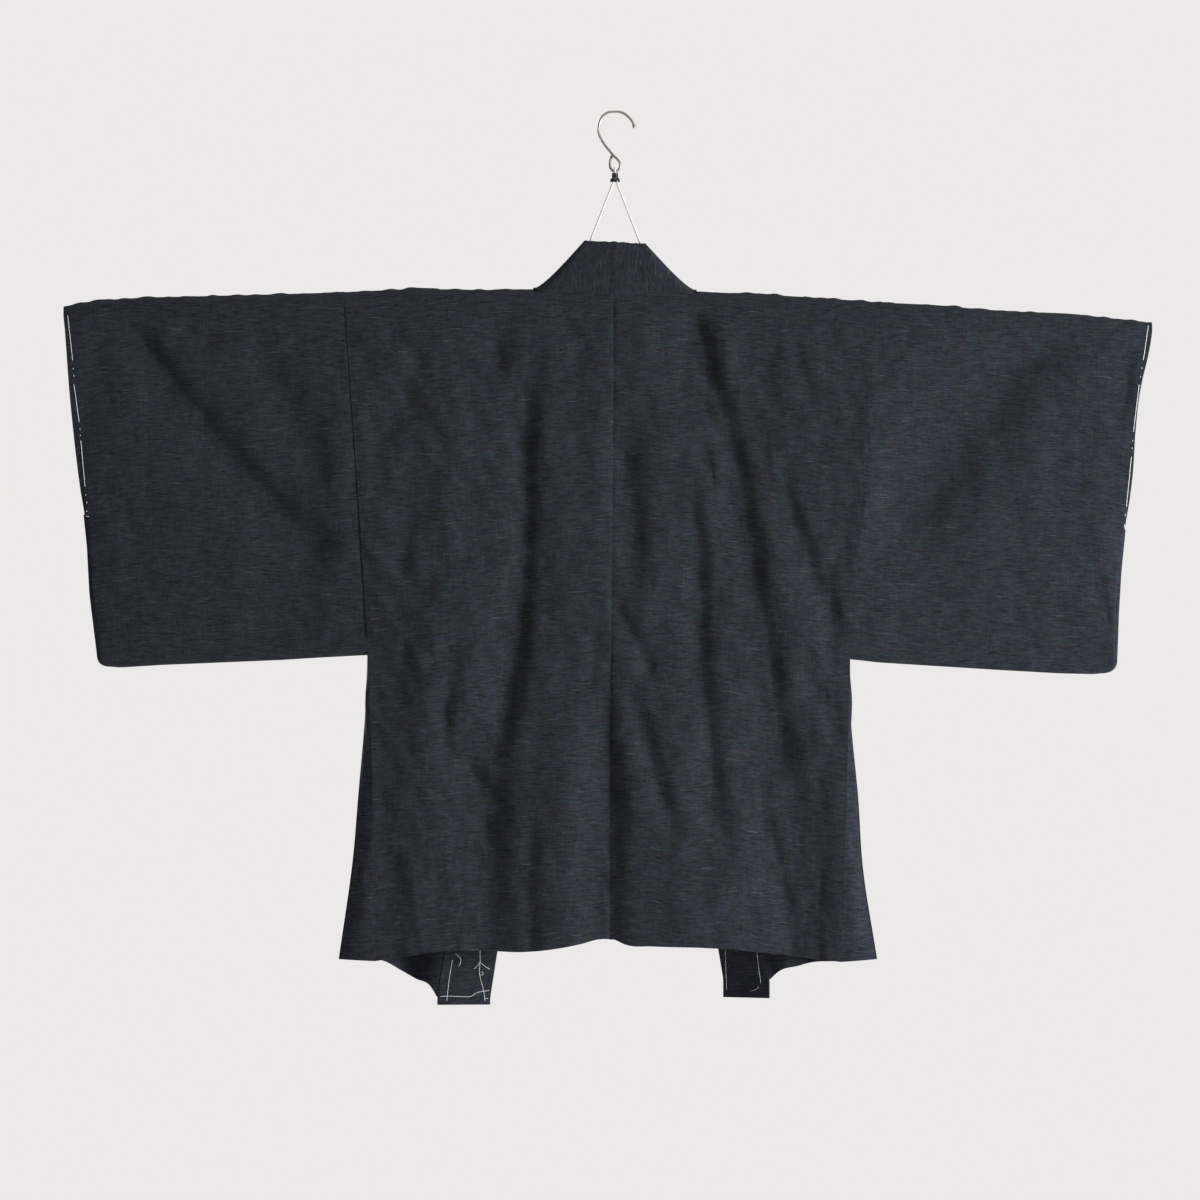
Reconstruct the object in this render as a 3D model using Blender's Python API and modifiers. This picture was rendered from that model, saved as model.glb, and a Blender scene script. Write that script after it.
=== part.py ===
"""A men's haori jacket hanging on a kimono hanger, in metres, +Z up.

The origin is where the hook bears on its rail. The front of the jacket faces -Y,
and the wearer's left sleeve points along +X. Sizes below are in millimetres.

Each cut piece is one sheet: a grid of points lofted between its edges, given its
wall by Solidify. Neighbouring pieces read the same edge lines, so their edges run
SEAM apart all along.
"""

from collections import namedtuple
from math import cos, pi, radians, sin, tan

import bmesh
import bpy
import numpy as np
from mathutils import Vector

MM = 0.001

# Cloth
WALL = 1.2  # woven silk, one layer with its seam allowances pressed flat
COLLAR_WALL = 2.6  # folded band of several layers
SEAM = 0.3  # gap between neighbouring pieces
COLLAR_WIDTH = 64.0
UNDERARM_HALF = 9.0  # half of the gusset's width at its top
SLEEVE_FOLD = 3.5  # radius of the sleeve's closed bottom and lower front edge

# Hanger
ROD_RADIUS = 9.0
ROD_TOP_CENTRE = -220.0  # height of the rod's axis at the hub
HUB_HALF = 24.0
WIRE = 3.0
CORD = 2.6
CORD_SEAT_X = 53.0  # where each leg of the cord enters its arm
CORD_HOLE_DEPTH = 5.0
FERRULE_TOP = -72.6
FERRULE_SHOULDER = -78.5
FERRULE_FOOT = -83.0
FERRULE_RADIUS = 3.9
FERRULE_BELL = 6.1
FERRULE_BORE = 3.1
EYE_CENTRE_Z = -62.0
EYE_RADIUS = 7.0
BALL = 5.4
LOOP_Z = -560.0  # height of the small loops for the front cord
LOOP_CORD = 2.0

# Grid
OVER_STEPS = 8  # across the top of the rod, front to back
UPPER_ROWS = 12  # rod to underarm
LOWER_ROWS = 10  # underarm to hem
INNER_COLUMNS = 8  # centre back seam to neck point
OUTER_COLUMNS = 12  # neck point to side seam
SLEEVE_COLUMNS = 16
BOTTOM_COLUMNS = 9  # of those, along the sleeve's bottom
CORNER_COLUMNS = 3  # and round its lower front corner
EDGE_STEPS = 4  # round the sleeve's closed edge
COLLAR_COLUMNS = 4
COLLAR_BACK_ROWS = 4
COLLAR_TURN_ROWS = 8
GUSSET_COLUMNS = 4

Point = namedtuple("Point", "x z")
Depth = namedtuple("Depth", "z y")
Profile = namedtuple("Profile", "radius z")
Bend = namedtuple("Bend", "x y z")
# A fold is a soft trough. Its path follows the steepest line of its wall towards -x.
# The rest are its depth, how far it reaches on the side towards +x and on the side
# towards -x, how many times wider it is at its foot, and the share of its length over
# which it fades in at the top and out at the bottom.
Fold = namedtuple("Fold", "depth wide_left wide_right grow fade_in fade_out path")

# The vertical folds that take up a front's spare width: how many, how much wider they
# get towards the side, whether the first one from the collar is a hollow (1) or a
# ridge (-1), and how far the ridges fall short of the hollows
Wave = namedtuple("Wave", "folds lead way short")

Side = namedtuple(
    "Side",
    "name sign droop rod_end tip_drop underarm shoulder back_hem front_hem body_side gusset_back"
    " gusset_front collar_seam collar_foot band_twist front_wave collar_corner sleeve_bottom"
    " sleeve_edge cuff folds",
)

BACK_FOLDS = (
    Fold(
        9.5, 36, 12, 1.6, 0.04, 0.12,
        ((-97, -222), (-116, -284), (-132, -344), (-151, -404), (-163, -464), (-173, -524),
         (-184, -584), (-196, -644), (-204, -704), (-210, -758)),
    ),
    Fold(
        13.0, 46, 22, 1.3, 0.25, 0.0,
        ((-210, -704), (-218, -776), (-229, -836), (-236, -896), (-241, -1010)),
    ),
    Fold(
        6.0, 22, 11, 1.2, 0.3, 0.0,
        ((-184, -758), (-186, -824), (-196, -884), (-209, -932), (-217, -1010)),
    ),
    Fold(
        9.0, 34, 14, 1.1, 0.12, 0.15,
        ((95, -248), (96, -344), (100, -404), (100, -524), (102, -584), (108, -644), (118, -704),
         (131, -758), (148, -812)),
    ),
    Fold(
        4.5, 26, 13, 1.2, 0.35, 0.3,
        ((98, -488), (101, -560), (106, -632), (116, -704), (131, -758), (145, -806)),
    ),
    Fold(12.5, 50, 22, 1.4, 0.25, 0.0, ((126, -734), (143, -800), (142, -860), (134, -932), (131, -1010))),
    Fold(7.5, 18, 9, 1.5, 0.4, 0.0, ((2, -692), (1, -788), (-1, -860), (-4, -920), (-4, -1010))),
    Fold(6.5, 14, 14, 0.8, 0.25, 0.3, ((-16, -344), (-23, -404), (-28, -476), (-34, -548), (-37, -596))),
    Fold(
        6.0, 28, 10, 1.5, 0.3, 0.12,
        ((-95, -392), (-98, -476), (-106, -536), (-110, -596), (-110, -656), (-115, -716),
         (-124, -776), (-130, -848), (-131, -932)),
    ),
    Fold(4.4, 14, 9, 1.0, 0.3, 0.2, ((196, -674), (198, -716), (198, -767))),
    Fold(4.4, 16, 10, 1.0, 0.3, 0.3, ((208, -746), (186, -773), (162, -793), (145, -810))),
    Fold(5.0, 28, 16, 1.0, 0.2, 0.3, ((236, -296), (253, -362), (275, -410), (296, -446))),
    Fold(
        5.0, 20, 10, 1.1, 0.3, 0.15,
        ((-202, -398), (-217, -464), (-239, -530), (-258, -575), (-277, -611), (-292, -642)),
    ),
)
LEFT_SLEEVE_FOLDS = (
    Fold(
        8.5, 34, 15, 1.1, 0.08, 0.12,
        ((596, -206), (577, -240), (559, -270), (536, -302), (512, -332), (492, -355), (467, -389),
         (443, -416), (421, -443), (396, -468), (370, -490), (342, -510), (316, -528)),
    ),
    Fold(
        5.5, 32, 19, 1.1, 0.2, 0.3,
        ((443, -266), (408, -296), (388, -330), (372, -362), (356, -398), (342, -431), (328, -452)),
    ),
)
RIGHT_SLEEVE_FOLDS = (
    Fold(
        11.5, 46, 26, 1.5, 0.08, 0.25,
        ((-572, -239), (-552, -272), (-528, -299), (-503, -323), (-482, -348), (-467, -376),
         (-445, -406), (-421, -439), (-391, -476), (-359, -516), (-338, -572)),
    ),
)

LEFT = Side(
    name="left",
    sign=1,
    droop=1.3,
    rod_end=601,
    tip_drop=7.6,
    underarm=Point(297, -641),
    shoulder=(
        Point(98, -211), Point(138, -211.5), Point(210, -210.5), Point(258, -211),
        Point(326, -214), Point(402, -216.5), Point(498, -219), Point(594, -222.5),
        Point(642, -228), Point(662, -232),
    ),
    back_hem=(
        Point(0, -992), Point(18, -991.5), Point(40, -997), Point(65, -1002),
        Point(113, -1007), Point(145, -1006), Point(206, -1006), Point(258, -1013.5),
        Point(288, -1018),
    ),
    front_hem=(
        Point(214, -1063), Point(222, -1050), Point(240, -1041), Point(258, -1031),
        Point(276, -1020), Point(332, -1016),
    ),
    body_side=(Point(326, -216), Point(310, -440), Point(297, -641)),
    gusset_back=(Point(297, -641), Point(292, -768), Point(288, -1018)),
    gusset_front=(
        Point(297, -641), Point(300, -716), Point(309, -824), Point(314, -885),
        Point(332, -1016),
    ),
    collar_seam=(
        Point(98, -221), Point(114, -400), Point(149, -650), Point(181, -850),
        Point(214, -1064),
    ),
    collar_foot=-1072,
    band_twist=7,
    front_wave=Wave(1.5, 1.7, 1, 0.5),
    collar_corner=Point(36, -153),
    sleeve_bottom=(
        Point(297, -650), Point(354, -653), Point(402, -656), Point(546, -662),
        Point(594, -665), Point(606, -664),
    ),
    sleeve_edge=(Point(622, -650), Point(631, -577), Point(634, -520), Point(638, -482)),
    cuff=(
        Point(663, -232), Point(660, -272), Point(654.5, -344), Point(644, -440),
        Point(638.5, -482),
    ),
    folds=LEFT_SLEEVE_FOLDS,
)
RIGHT = Side(
    name="right",
    sign=-1,
    droop=3.4,
    rod_end=556,
    tip_drop=3.3,
    underarm=Point(-282, -646),
    shoulder=(
        Point(-98, -213.5), Point(-150, -215.5), Point(-198, -218), Point(-246, -221),
        Point(-322, -226.5), Point(-390, -230), Point(-438, -234.5), Point(-486, -237.5),
        Point(-558, -241), Point(-582, -244), Point(-630, -250), Point(-644, -251),
    ),
    back_hem=(
        Point(0, -992), Point(-10, -997), Point(-47, -1000), Point(-110, -1002),
        Point(-162, -1006), Point(-187, -1009), Point(-227, -1014), Point(-271, -1019),
    ),
    front_hem=(
        Point(-186, -1042), Point(-198, -1031), Point(-222, -1025), Point(-246, -1020),
        Point(-270, -1018), Point(-315, -1016),
    ),
    body_side=(Point(-322, -229), Point(-300, -440), Point(-282, -646)),
    gusset_back=(Point(-282, -646), Point(-279, -768), Point(-271, -1019)),
    gusset_front=(
        Point(-282, -646), Point(-283, -716), Point(-293, -830), Point(-297, -896),
        Point(-315, -1016),
    ),
    collar_seam=(
        Point(-98, -226), Point(-108, -400), Point(-134, -650), Point(-158, -850),
        Point(-186, -1042),
    ),
    collar_foot=-1064,
    band_twist=32,
    front_wave=Wave(2, 1, -1, 0),
    collar_corner=Point(-36, -156.5),
    sleeve_bottom=(
        Point(-282, -655), Point(-318, -659), Point(-366, -662), Point(-462, -668),
        Point(-534, -672), Point(-576, -673), Point(-584, -672),
    ),
    sleeve_edge=(Point(-603, -656), Point(-605, -600), Point(-608, -550), Point(-613, -500)),
    cuff=(
        Point(-646, -251), Point(-643, -278), Point(-639, -298), Point(-632.5, -325),
        Point(-629, -346), Point(-625.5, -380), Point(-622, -434), Point(-613.5, -500),
    ),
    folds=RIGHT_SLEEVE_FOLDS,
)

# How far the cloth stands from the mid-plane, by height, away from its side edges
BACK_DEPTH = (Depth(-222, 10), Depth(-450, 13), Depth(-650, 17), Depth(-850, 21), Depth(-1015, 24))
FRONT_DEPTH = (Depth(-222, 10), Depth(-450, 15), Depth(-650, 21), Depth(-850, 26), Depth(-1060, 29))
# Half of the gap at the side seams below the underarm
BACK_SIDE_DEPTH = (Depth(-641, 9), Depth(-768, 9), Depth(-1018, 10))
FRONT_SIDE_DEPTH = (Depth(-641, 9), Depth(-768, 6), Depth(-1018, 3))
STEEPEST = 0.707  # a trough's steepest line, in its widths from its bottom
SIDE_BLEND = 90.0  # width over which a panel comes round to its side edge
FRONT_FOLD_DEPTH = (Depth(-222, 0), Depth(-330, 2), Depth(-500, 13), Depth(-700, 19), Depth(-1060, 21))
SLEEVE_FULLNESS = 3.0  # how far each layer bellies out between its top and bottom

CENTRE_SEAM = (Point(2.0, -213), Point(2.6, -440), Point(3.8, -560), Point(5.6, -680), Point(6.6, -992))
NECK_SEAM_Z = -213.6
NECK_X = 98.0
COLLAR_TOP_RADIUS = 4.5  # of the turn to the front, at the collar's upper edge
COLLAR_TOP_Z = -157.0
COLLAR_CENTRE_Z = -154.5
COLLAR_STAND_Y = 6.5  # the upper edge's distance from the mid-plane, behind the neck
COLLAR_SAG = 6.0  # of the turned edges between the neck and the collar's corners
COLLAR_CLEAR_Z = -206.0  # below this the collar keeps clear of the rod
CLOTH_RADIUS = ROD_RADIUS + SEAM + 0.1 + WALL / 2


def smoothstep(t):
    t = np.clip(t, 0.0, 1.0)
    return t * t * (3 - 2 * t)


def read(table, at, key, value):
    """A value read at `at` from a smooth line through a table's rows."""
    rows = sorted(table, key=lambda row: getattr(row, key))
    knots = np.array([getattr(row, key) for row in rows], float)
    values = np.array([getattr(row, value) for row in rows], float)
    slopes = np.gradient(values, knots) if len(rows) > 2 else np.full(2, np.ptp(values) / np.ptp(knots))
    if len(rows) == 2:
        slopes *= np.sign(values[1] - values[0])
    at = np.clip(at, knots[0], knots[-1])
    i = np.clip(np.searchsorted(knots, at, side="right") - 1, 0, len(rows) - 2)
    span = knots[i + 1] - knots[i]
    t = (at - knots[i]) / span
    rise = values[i + 1] - values[i]
    low, high = slopes[i] * span, slopes[i + 1] * span
    return values[i] + t * low + t * t * (3 * rise - 2 * low - high) + t**3 * (low + high - 2 * rise)


def x_at(table, z):
    return read(table, z, "z", "x")


def z_at(table, x):
    return read(table, x, "x", "z")


def y_at(table, z):
    return read(table, z, "z", "y")


def rod_z(side, x):
    """Height of the arm's axis and, past its tip, of the bend of the cloth."""
    beyond = np.maximum(np.abs(x) - side.rod_end, 0) / (abs(side.cuff[0].x) - side.rod_end)
    return ROD_TOP_CENTRE - np.abs(x) * tan(radians(side.droop)) - side.tip_drop * beyond**2


def trough(x, z, fold):
    """How deep a fold is at each point, 0 or less."""
    path = np.array(fold.path, float)
    course = np.gradient(path, axis=0)
    course /= np.hypot(course[:, 0], course[:, 1])[:, None]
    reach = STEEPEST * fold.wide_right * np.linspace(1, fold.grow, len(path))[:, None]
    path += reach * np.stack([-course[:, 1], course[:, 0]], axis=-1)
    starts, steps = path[:-1], np.diff(path, axis=0)
    lengths = np.hypot(steps[:, 0], steps[:, 1])
    points = np.stack([x, z], axis=-1)[..., None, :] - starts
    share = np.clip((points * steps).sum(-1) / lengths**2, 0, 1)
    away = points - share[..., None] * steps
    distance = np.hypot(away[..., 0], away[..., 1])
    nearest = distance.argmin(-1)
    pick = lambda values: np.take_along_axis(values, nearest[..., None], -1)[..., 0]
    run = np.concatenate([[0], np.cumsum(lengths)])
    along = (run[nearest] + pick(share) * lengths[nearest]) / run[-1]
    width = np.where(pick(away[..., 0]) > 0, fold.wide_left, fold.wide_right)
    width = width * (1 + (fold.grow - 1) * along)
    fade = np.ones_like(along)
    if fold.fade_in:
        fade = fade * smoothstep(along / fold.fade_in)
    if fold.fade_out:
        fade = fade * smoothstep((1 - along) / fold.fade_out)
    return -fold.depth * fade * np.exp(-((pick(distance) / width) ** 2))


def troughs(x, z, folds):
    return sum(trough(x, z, fold) for fold in folds)


def over_rod(side, x, turn, lift=0.0):
    """A point of the cloth over the rod: turn 0 is level with it at the back, pi at the front."""
    axis = rod_z(side, x)
    rise = max(z_at(side.shoulder, x) - WALL / 2 - axis, CLOTH_RADIUS)
    return x, (CLOTH_RADIUS + lift) * cos(turn), axis + (rise + lift) * sin(turn)


def half_gap(share):
    """Half of the sleeve's depth at its body seam, from the rod (0) to the underarm (1)."""
    return CLOTH_RADIUS + (UNDERARM_HALF - CLOTH_RADIUS) * share + SLEEVE_FULLNESS * np.sin(pi * share)


def row_heights(top, middle, bottom):
    """Heights down a column: rod, underarm, hem."""
    upper = np.linspace(top, middle, UPPER_ROWS + 1)
    lower = np.linspace(middle, bottom, LOWER_ROWS + 1)
    return np.concatenate([upper, lower[1:]])


def side_edge(side, below, depth, hem_z):
    """The points down a panel's side: x, y from the mid-plane, z."""
    z = row_heights(rod_z(side, side.body_side[0].x), side.underarm.z, hem_z)
    x = np.where(z >= side.underarm.z, x_at(side.body_side, z), x_at(below, z))
    share = np.linspace(0, 1, UPPER_ROWS + 1)
    y = np.concatenate([half_gap(share), y_at(depth, z[UPPER_ROWS + 1 :])])
    return x, y, z


def edge_shares(columns):
    """Shares across a panel, closer together near its two edges."""
    even = np.linspace(0, 1, columns + 1)
    return even - 0.05 * np.sin(2 * pi * even)


def back_edges(side):
    """The x of the centre seam, neck line and side seam of a back, row by row."""
    x, y, z = side_edge(side, side.gusset_back, BACK_SIDE_DEPTH, side.gusset_back[-1].z)
    centre = x_at(CENTRE_SEAM, z) + side.sign * SEAM / 2
    neck = np.linspace(side.sign * (NECK_X + SEAM / 2), side.sign * 165.0, len(z))
    return centre, neck, x - side.sign * SEAM / 2, y


def back_grid(side):
    """Rows from the rod's height to the hem, columns from the centre seam to the side."""
    centre, neck, outer, side_y = back_edges(side)
    inner_share = np.linspace(0, 1, INNER_COLUMNS + 1)[:-1]
    outer_share = edge_shares(OUTER_COLUMNS)
    x = np.concatenate(
        [
            centre[:, None] + (neck - centre)[:, None] * inner_share,
            neck[:, None] + (outer - neck)[:, None] * outer_share,
        ],
        axis=1,
    )
    z = np.stack(
        [
            row_heights(rod_z(side, column[0]), side.underarm.z, z_at(side.back_hem, column[-1]))
            for column in x.T
        ],
        axis=1,
    )
    inside = smoothstep(np.abs(x - outer[:, None]) / SIDE_BLEND)
    y = side_y[:, None] + (y_at(BACK_DEPTH, z) - side_y[:, None]) * inside
    near_rod = smoothstep((z[0] - z) / 60.0)
    y = y + troughs(x, z, BACK_FOLDS) * near_rod * smoothstep(np.abs(x - outer[:, None]) / 30.0)
    return np.stack([x, y, z], axis=-1)


def front_grid(side):
    """Rows from the rod's height to the hem, columns from the collar seam to the side."""
    outer, side_y, _ = side_edge(side, side.gusset_front, FRONT_SIDE_DEPTH, side.front_hem[-1].z)
    outer = outer - side.sign * SEAM / 2
    collar_z = row_heights(rod_z(side, NECK_X), side.underarm.z, side.front_hem[0].z)
    collar = x_at(side.collar_seam, collar_z) + side.sign * SEAM / 2
    share = edge_shares(OUTER_COLUMNS)
    x = collar[:, None] + (outer - collar)[:, None] * share
    z = np.stack(
        [
            row_heights(rod_z(side, column[0]), side.underarm.z, z_at(side.front_hem, column[-1]))
            for column in x.T
        ],
        axis=1,
    )
    inside = smoothstep(np.abs(x - outer[:, None]) / SIDE_BLEND)
    y = side_y[:, None] + (y_at(FRONT_DEPTH, z) - side_y[:, None]) * inside
    wave = side.front_wave
    swell = wave.way * np.sin(2 * pi * wave.folds * share**wave.lead)
    swell = (swell + wave.short) / (1 + wave.short)
    ends = smoothstep(share / 0.24) * smoothstep((1 - share) / 0.24)
    y = y + y_at(FRONT_FOLD_DEPTH, z) * swell * ends
    return np.stack([x, -y, z], axis=-1)


def clear_scene():
    for obj in list(bpy.data.objects):
        bpy.data.objects.remove(obj, do_unlink=True)
    for collection in list(bpy.data.collections):
        bpy.data.collections.remove(collection)


def new_collection(name):
    collection = bpy.data.collections.new(name)
    bpy.context.scene.collection.children.link(collection)
    return collection


def new_material(name, colour, roughness, metallic=0.0):
    material = bpy.data.materials.new(name)
    material.use_nodes = True
    shader = material.node_tree.nodes["Principled BSDF"]
    shader.inputs["Base Color"].default_value = (*colour, 1.0)
    shader.inputs["Roughness"].default_value = roughness
    shader.inputs["Metallic"].default_value = metallic
    return material


def add_object(name, data, material, collection):
    obj = bpy.data.objects.new(name, data)
    collection.objects.link(obj)
    data.materials.append(material)
    return obj


def add_sheet(name, points, faces, wall, material, collection):
    """An open surface, points in millimetres, given its wall on both sides."""
    mesh = bpy.data.meshes.new(name)
    used = sorted({index for face in faces for index in face})
    order = {index: i for i, index in enumerate(used)}
    mesh.from_pydata([Vector(points[i]) * MM for i in used], [], [[order[i] for i in f] for f in faces])
    mesh.shade_smooth()
    mesh.update()
    obj = add_object(name, mesh, material, collection)
    solidify = obj.modifiers.new("Wall", "SOLIDIFY")
    solidify.thickness = wall * MM
    solidify.offset = 0.0
    solidify.use_even_offset = True
    solidify.use_quality_normals = True
    return obj


def grid_faces(index, keep=lambda row, column: True):
    """Quads between the rows of an index table."""
    rows, columns = index.shape
    return [
        (index[r, c], index[r, c + 1], index[r + 1, c + 1], index[r + 1, c])
        for r in range(rows - 1)
        for c in range(columns - 1)
        if keep(r, c)
    ]


def add_body(side, material, collection):
    """One half of the body, cut in one length from the back hem over the shoulder to the front hem."""
    back = back_grid(side)
    front = front_grid(side)
    columns = INNER_COLUMNS + OUTER_COLUMNS + 1
    shoulder_x = back[0, INNER_COLUMNS:, 0]
    over = np.zeros((OVER_STEPS + 1, columns, 3))
    for step in range(OVER_STEPS + 1):
        for column, x in enumerate(shoulder_x, INNER_COLUMNS):
            over[step, column] = over_rod(side, x, pi * step / OVER_STEPS)
    neck_step = OVER_STEPS // 4
    for column in range(INNER_COLUMNS):
        x, _, axis = back[0, column]
        turn_in = smoothstep((abs(x) - 84) / 14)
        for step in range(neck_step + 1):
            y = CLOTH_RADIUS + (over[step, INNER_COLUMNS, 1] - CLOTH_RADIUS) * turn_in
            over[step, column] = x, y, axis + (NECK_SEAM_Z - SEAM / 2 - axis) * step / neck_step
    down_front = np.zeros((len(front) - 1, columns, 3))
    down_front[:, INNER_COLUMNS:] = front[1:]
    points = np.concatenate([back[:0:-1], over, down_front])
    index = np.arange(points.shape[0] * columns).reshape(-1, columns)
    last_neck_row = len(back) - 1 + neck_step

    def cloth(row, column):
        return column >= INNER_COLUMNS or row < last_neck_row

    return add_sheet(
        "body_" + side.name, points.reshape(-1, 3), grid_faces(index, cloth), WALL, material, collection
    )


def closed_edge(side):
    """The sleeve's sewn edge: along its bottom, round its corner and up to the end of the cuff."""
    bottom = spaced(np.array(side.sleeve_bottom, float), np.linspace(0, 1, BOTTOM_COLUMNS + 1))
    rise_columns = SLEEVE_COLUMNS - BOTTOM_COLUMNS - CORNER_COLUMNS
    rise = spaced(np.array(side.sleeve_edge, float), np.linspace(0, 1, rise_columns + 1))
    corner = np.array([rise[0][0], bottom[-1][1]])
    turn = [
        (1 - t) ** 2 * bottom[-1] + 2 * t * (1 - t) * corner + t**2 * rise[0]
        for t in np.linspace(0, 1, CORNER_COLUMNS + 1)[1:-1]
    ]
    return np.concatenate([bottom, turn, rise])


def spaced(line, shares):
    """Points at shares of a polyline's length."""
    steps = np.hypot(*np.diff(line, axis=0).T)
    run = np.concatenate([[0], np.cumsum(steps)]) / steps.sum()
    return np.stack([np.interp(shares, run, line[:, 0]), np.interp(shares, run, line[:, 1])], axis=-1)


def sleeve_layer(side):
    """The x and z of one sleeve layer, rod to sewn edge by body seam to cuff, and its fold radius."""
    across = np.linspace(0, 1, SLEEVE_COLUMNS + 1)
    down = np.linspace(0, 1, UPPER_ROWS + 1)
    sewn = closed_edge(side)
    along = np.gradient(sewn, axis=0)
    along /= np.hypot(*along.T)[:, None]
    inward = np.stack([-along[:, 1], along[:, 0]], axis=-1) * side.sign
    inward[0] = (0, 1)
    radius = SLEEVE_FOLD + (UNDERARM_HALF - SLEEVE_FOLD) * (1 - smoothstep(across / 0.15))
    sewn = sewn + inward * radius[:, None]
    inner_x, _, inner_z = side_edge(side, side.gusset_back, BACK_SIDE_DEPTH, side.gusset_back[-1].z)
    inner = np.stack([inner_x, inner_z], axis=-1)[: UPPER_ROWS + 1]
    inner[:, 0] += side.sign * SEAM / 2
    sewn[0] = inner[-1]
    top_x = np.linspace(inner[0, 0], side.cuff[0].x, SLEEVE_COLUMNS + 1)
    top = np.stack([top_x, [rod_z(side, x) for x in top_x]], axis=-1)
    cuff_z = np.linspace(top[-1, 1], sewn[-1, 1], UPPER_ROWS + 1)
    lean = (sewn[-1, 0] - side.cuff[-1].x) * np.linspace(0, 1, UPPER_ROWS + 1) ** 4
    cuff = np.stack([x_at(side.cuff, cuff_z) + lean, cuff_z], axis=-1)
    u, v = across[None, :, None], down[:, None, None]
    blend_down = (1 - v) * top[None] + v * sewn[None]
    blend_across = (1 - u) * inner[:, None] + u * cuff[:, None]
    corners = (1 - u) * ((1 - v) * top[0] + v * sewn[0]) + u * ((1 - v) * top[-1] + v * sewn[-1])
    return blend_down + blend_across - corners, inward, radius


def add_sleeve(side, material, collection):
    """A tube closed along its bottom and lower front edge, open at the body and at the cuff."""
    layer, inward, radius = sleeve_layer(side)
    x, z = layer[..., 0], layer[..., 1]
    down = np.linspace(0, 1, UPPER_ROWS + 1)[:, None]
    gap = CLOTH_RADIUS + (radius - CLOTH_RADIUS) * down + SLEEVE_FULLNESS * np.sin(pi * down)
    seam_blend = smoothstep(np.abs(x - x[:, :1]) / 40.0) * smoothstep(down / 0.12)
    sway = troughs(x, z, side.folds) * seam_blend
    back = np.stack([x, gap + sway, z], axis=-1)
    front = np.stack([x, -gap + sway, z], axis=-1)
    over = np.array(
        [
            [over_rod(side, column_x, pi * step / OVER_STEPS) for column_x in x[0]]
            for step in range(1, OVER_STEPS)
        ]
    )
    folded = []
    for step in range(1, EDGE_STEPS):
        turn = pi * step / EDGE_STEPS
        shift = -inward * (radius * sin(turn))[:, None]
        rim = np.stack([x[-1] + shift[:, 0], -radius * cos(turn) + sway[-1], z[-1] + shift[:, 1]], axis=-1)
        folded.append(rim)
    loop = np.concatenate([back[::-1], over, front, np.array(folded)])
    rows, columns = loop.shape[:2]
    index = np.arange(rows * columns).reshape(rows, columns)
    index = np.concatenate([index, index[:1]])
    faces = grid_faces(index)
    return add_sheet("sleeve_" + side.name, loop.reshape(-1, 3), faces, WALL, material, collection)


def add_gusset(side, material, collection):
    """The side piece: narrow under the arm, wide at the hem, turned outwards towards the front."""
    back_x, back_y, back_z = side_edge(side, side.gusset_back, BACK_SIDE_DEPTH, side.gusset_back[-1].z)
    front_x, front_y, front_z = side_edge(
        side, side.gusset_front, FRONT_SIDE_DEPTH, side.front_hem[-1].z
    )
    share = np.linspace(0, 1, GUSSET_COLUMNS + 1)
    rows = []
    for row in range(UPPER_ROWS, UPPER_ROWS + LOWER_ROWS + 1):
        start = np.array([back_x[row], back_y[row], back_z[row]])
        end = np.array([front_x[row], -front_y[row], front_z[row]])
        reach = end - start
        length = np.linalg.norm(reach)
        inset_start, inset_end = 1.1 / length, 1.9 / length
        steps = inset_start + (1 - inset_start - inset_end) * share
        points = start + reach * steps[:, None]
        if row == UPPER_ROWS:
            drop = np.sqrt(np.maximum((UNDERARM_HALF + WALL / 2) ** 2 - points[:, 1] ** 2, 0))
            points[:, 2] -= drop + SEAM + 0.3
        rows.append(points)
    index = np.arange(len(rows) * (GUSSET_COLUMNS + 1)).reshape(len(rows), -1)
    points = np.array(rows).reshape(-1, 3)
    return add_sheet("gusset_" + side.name, points, grid_faces(index), WALL, material, collection)


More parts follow.
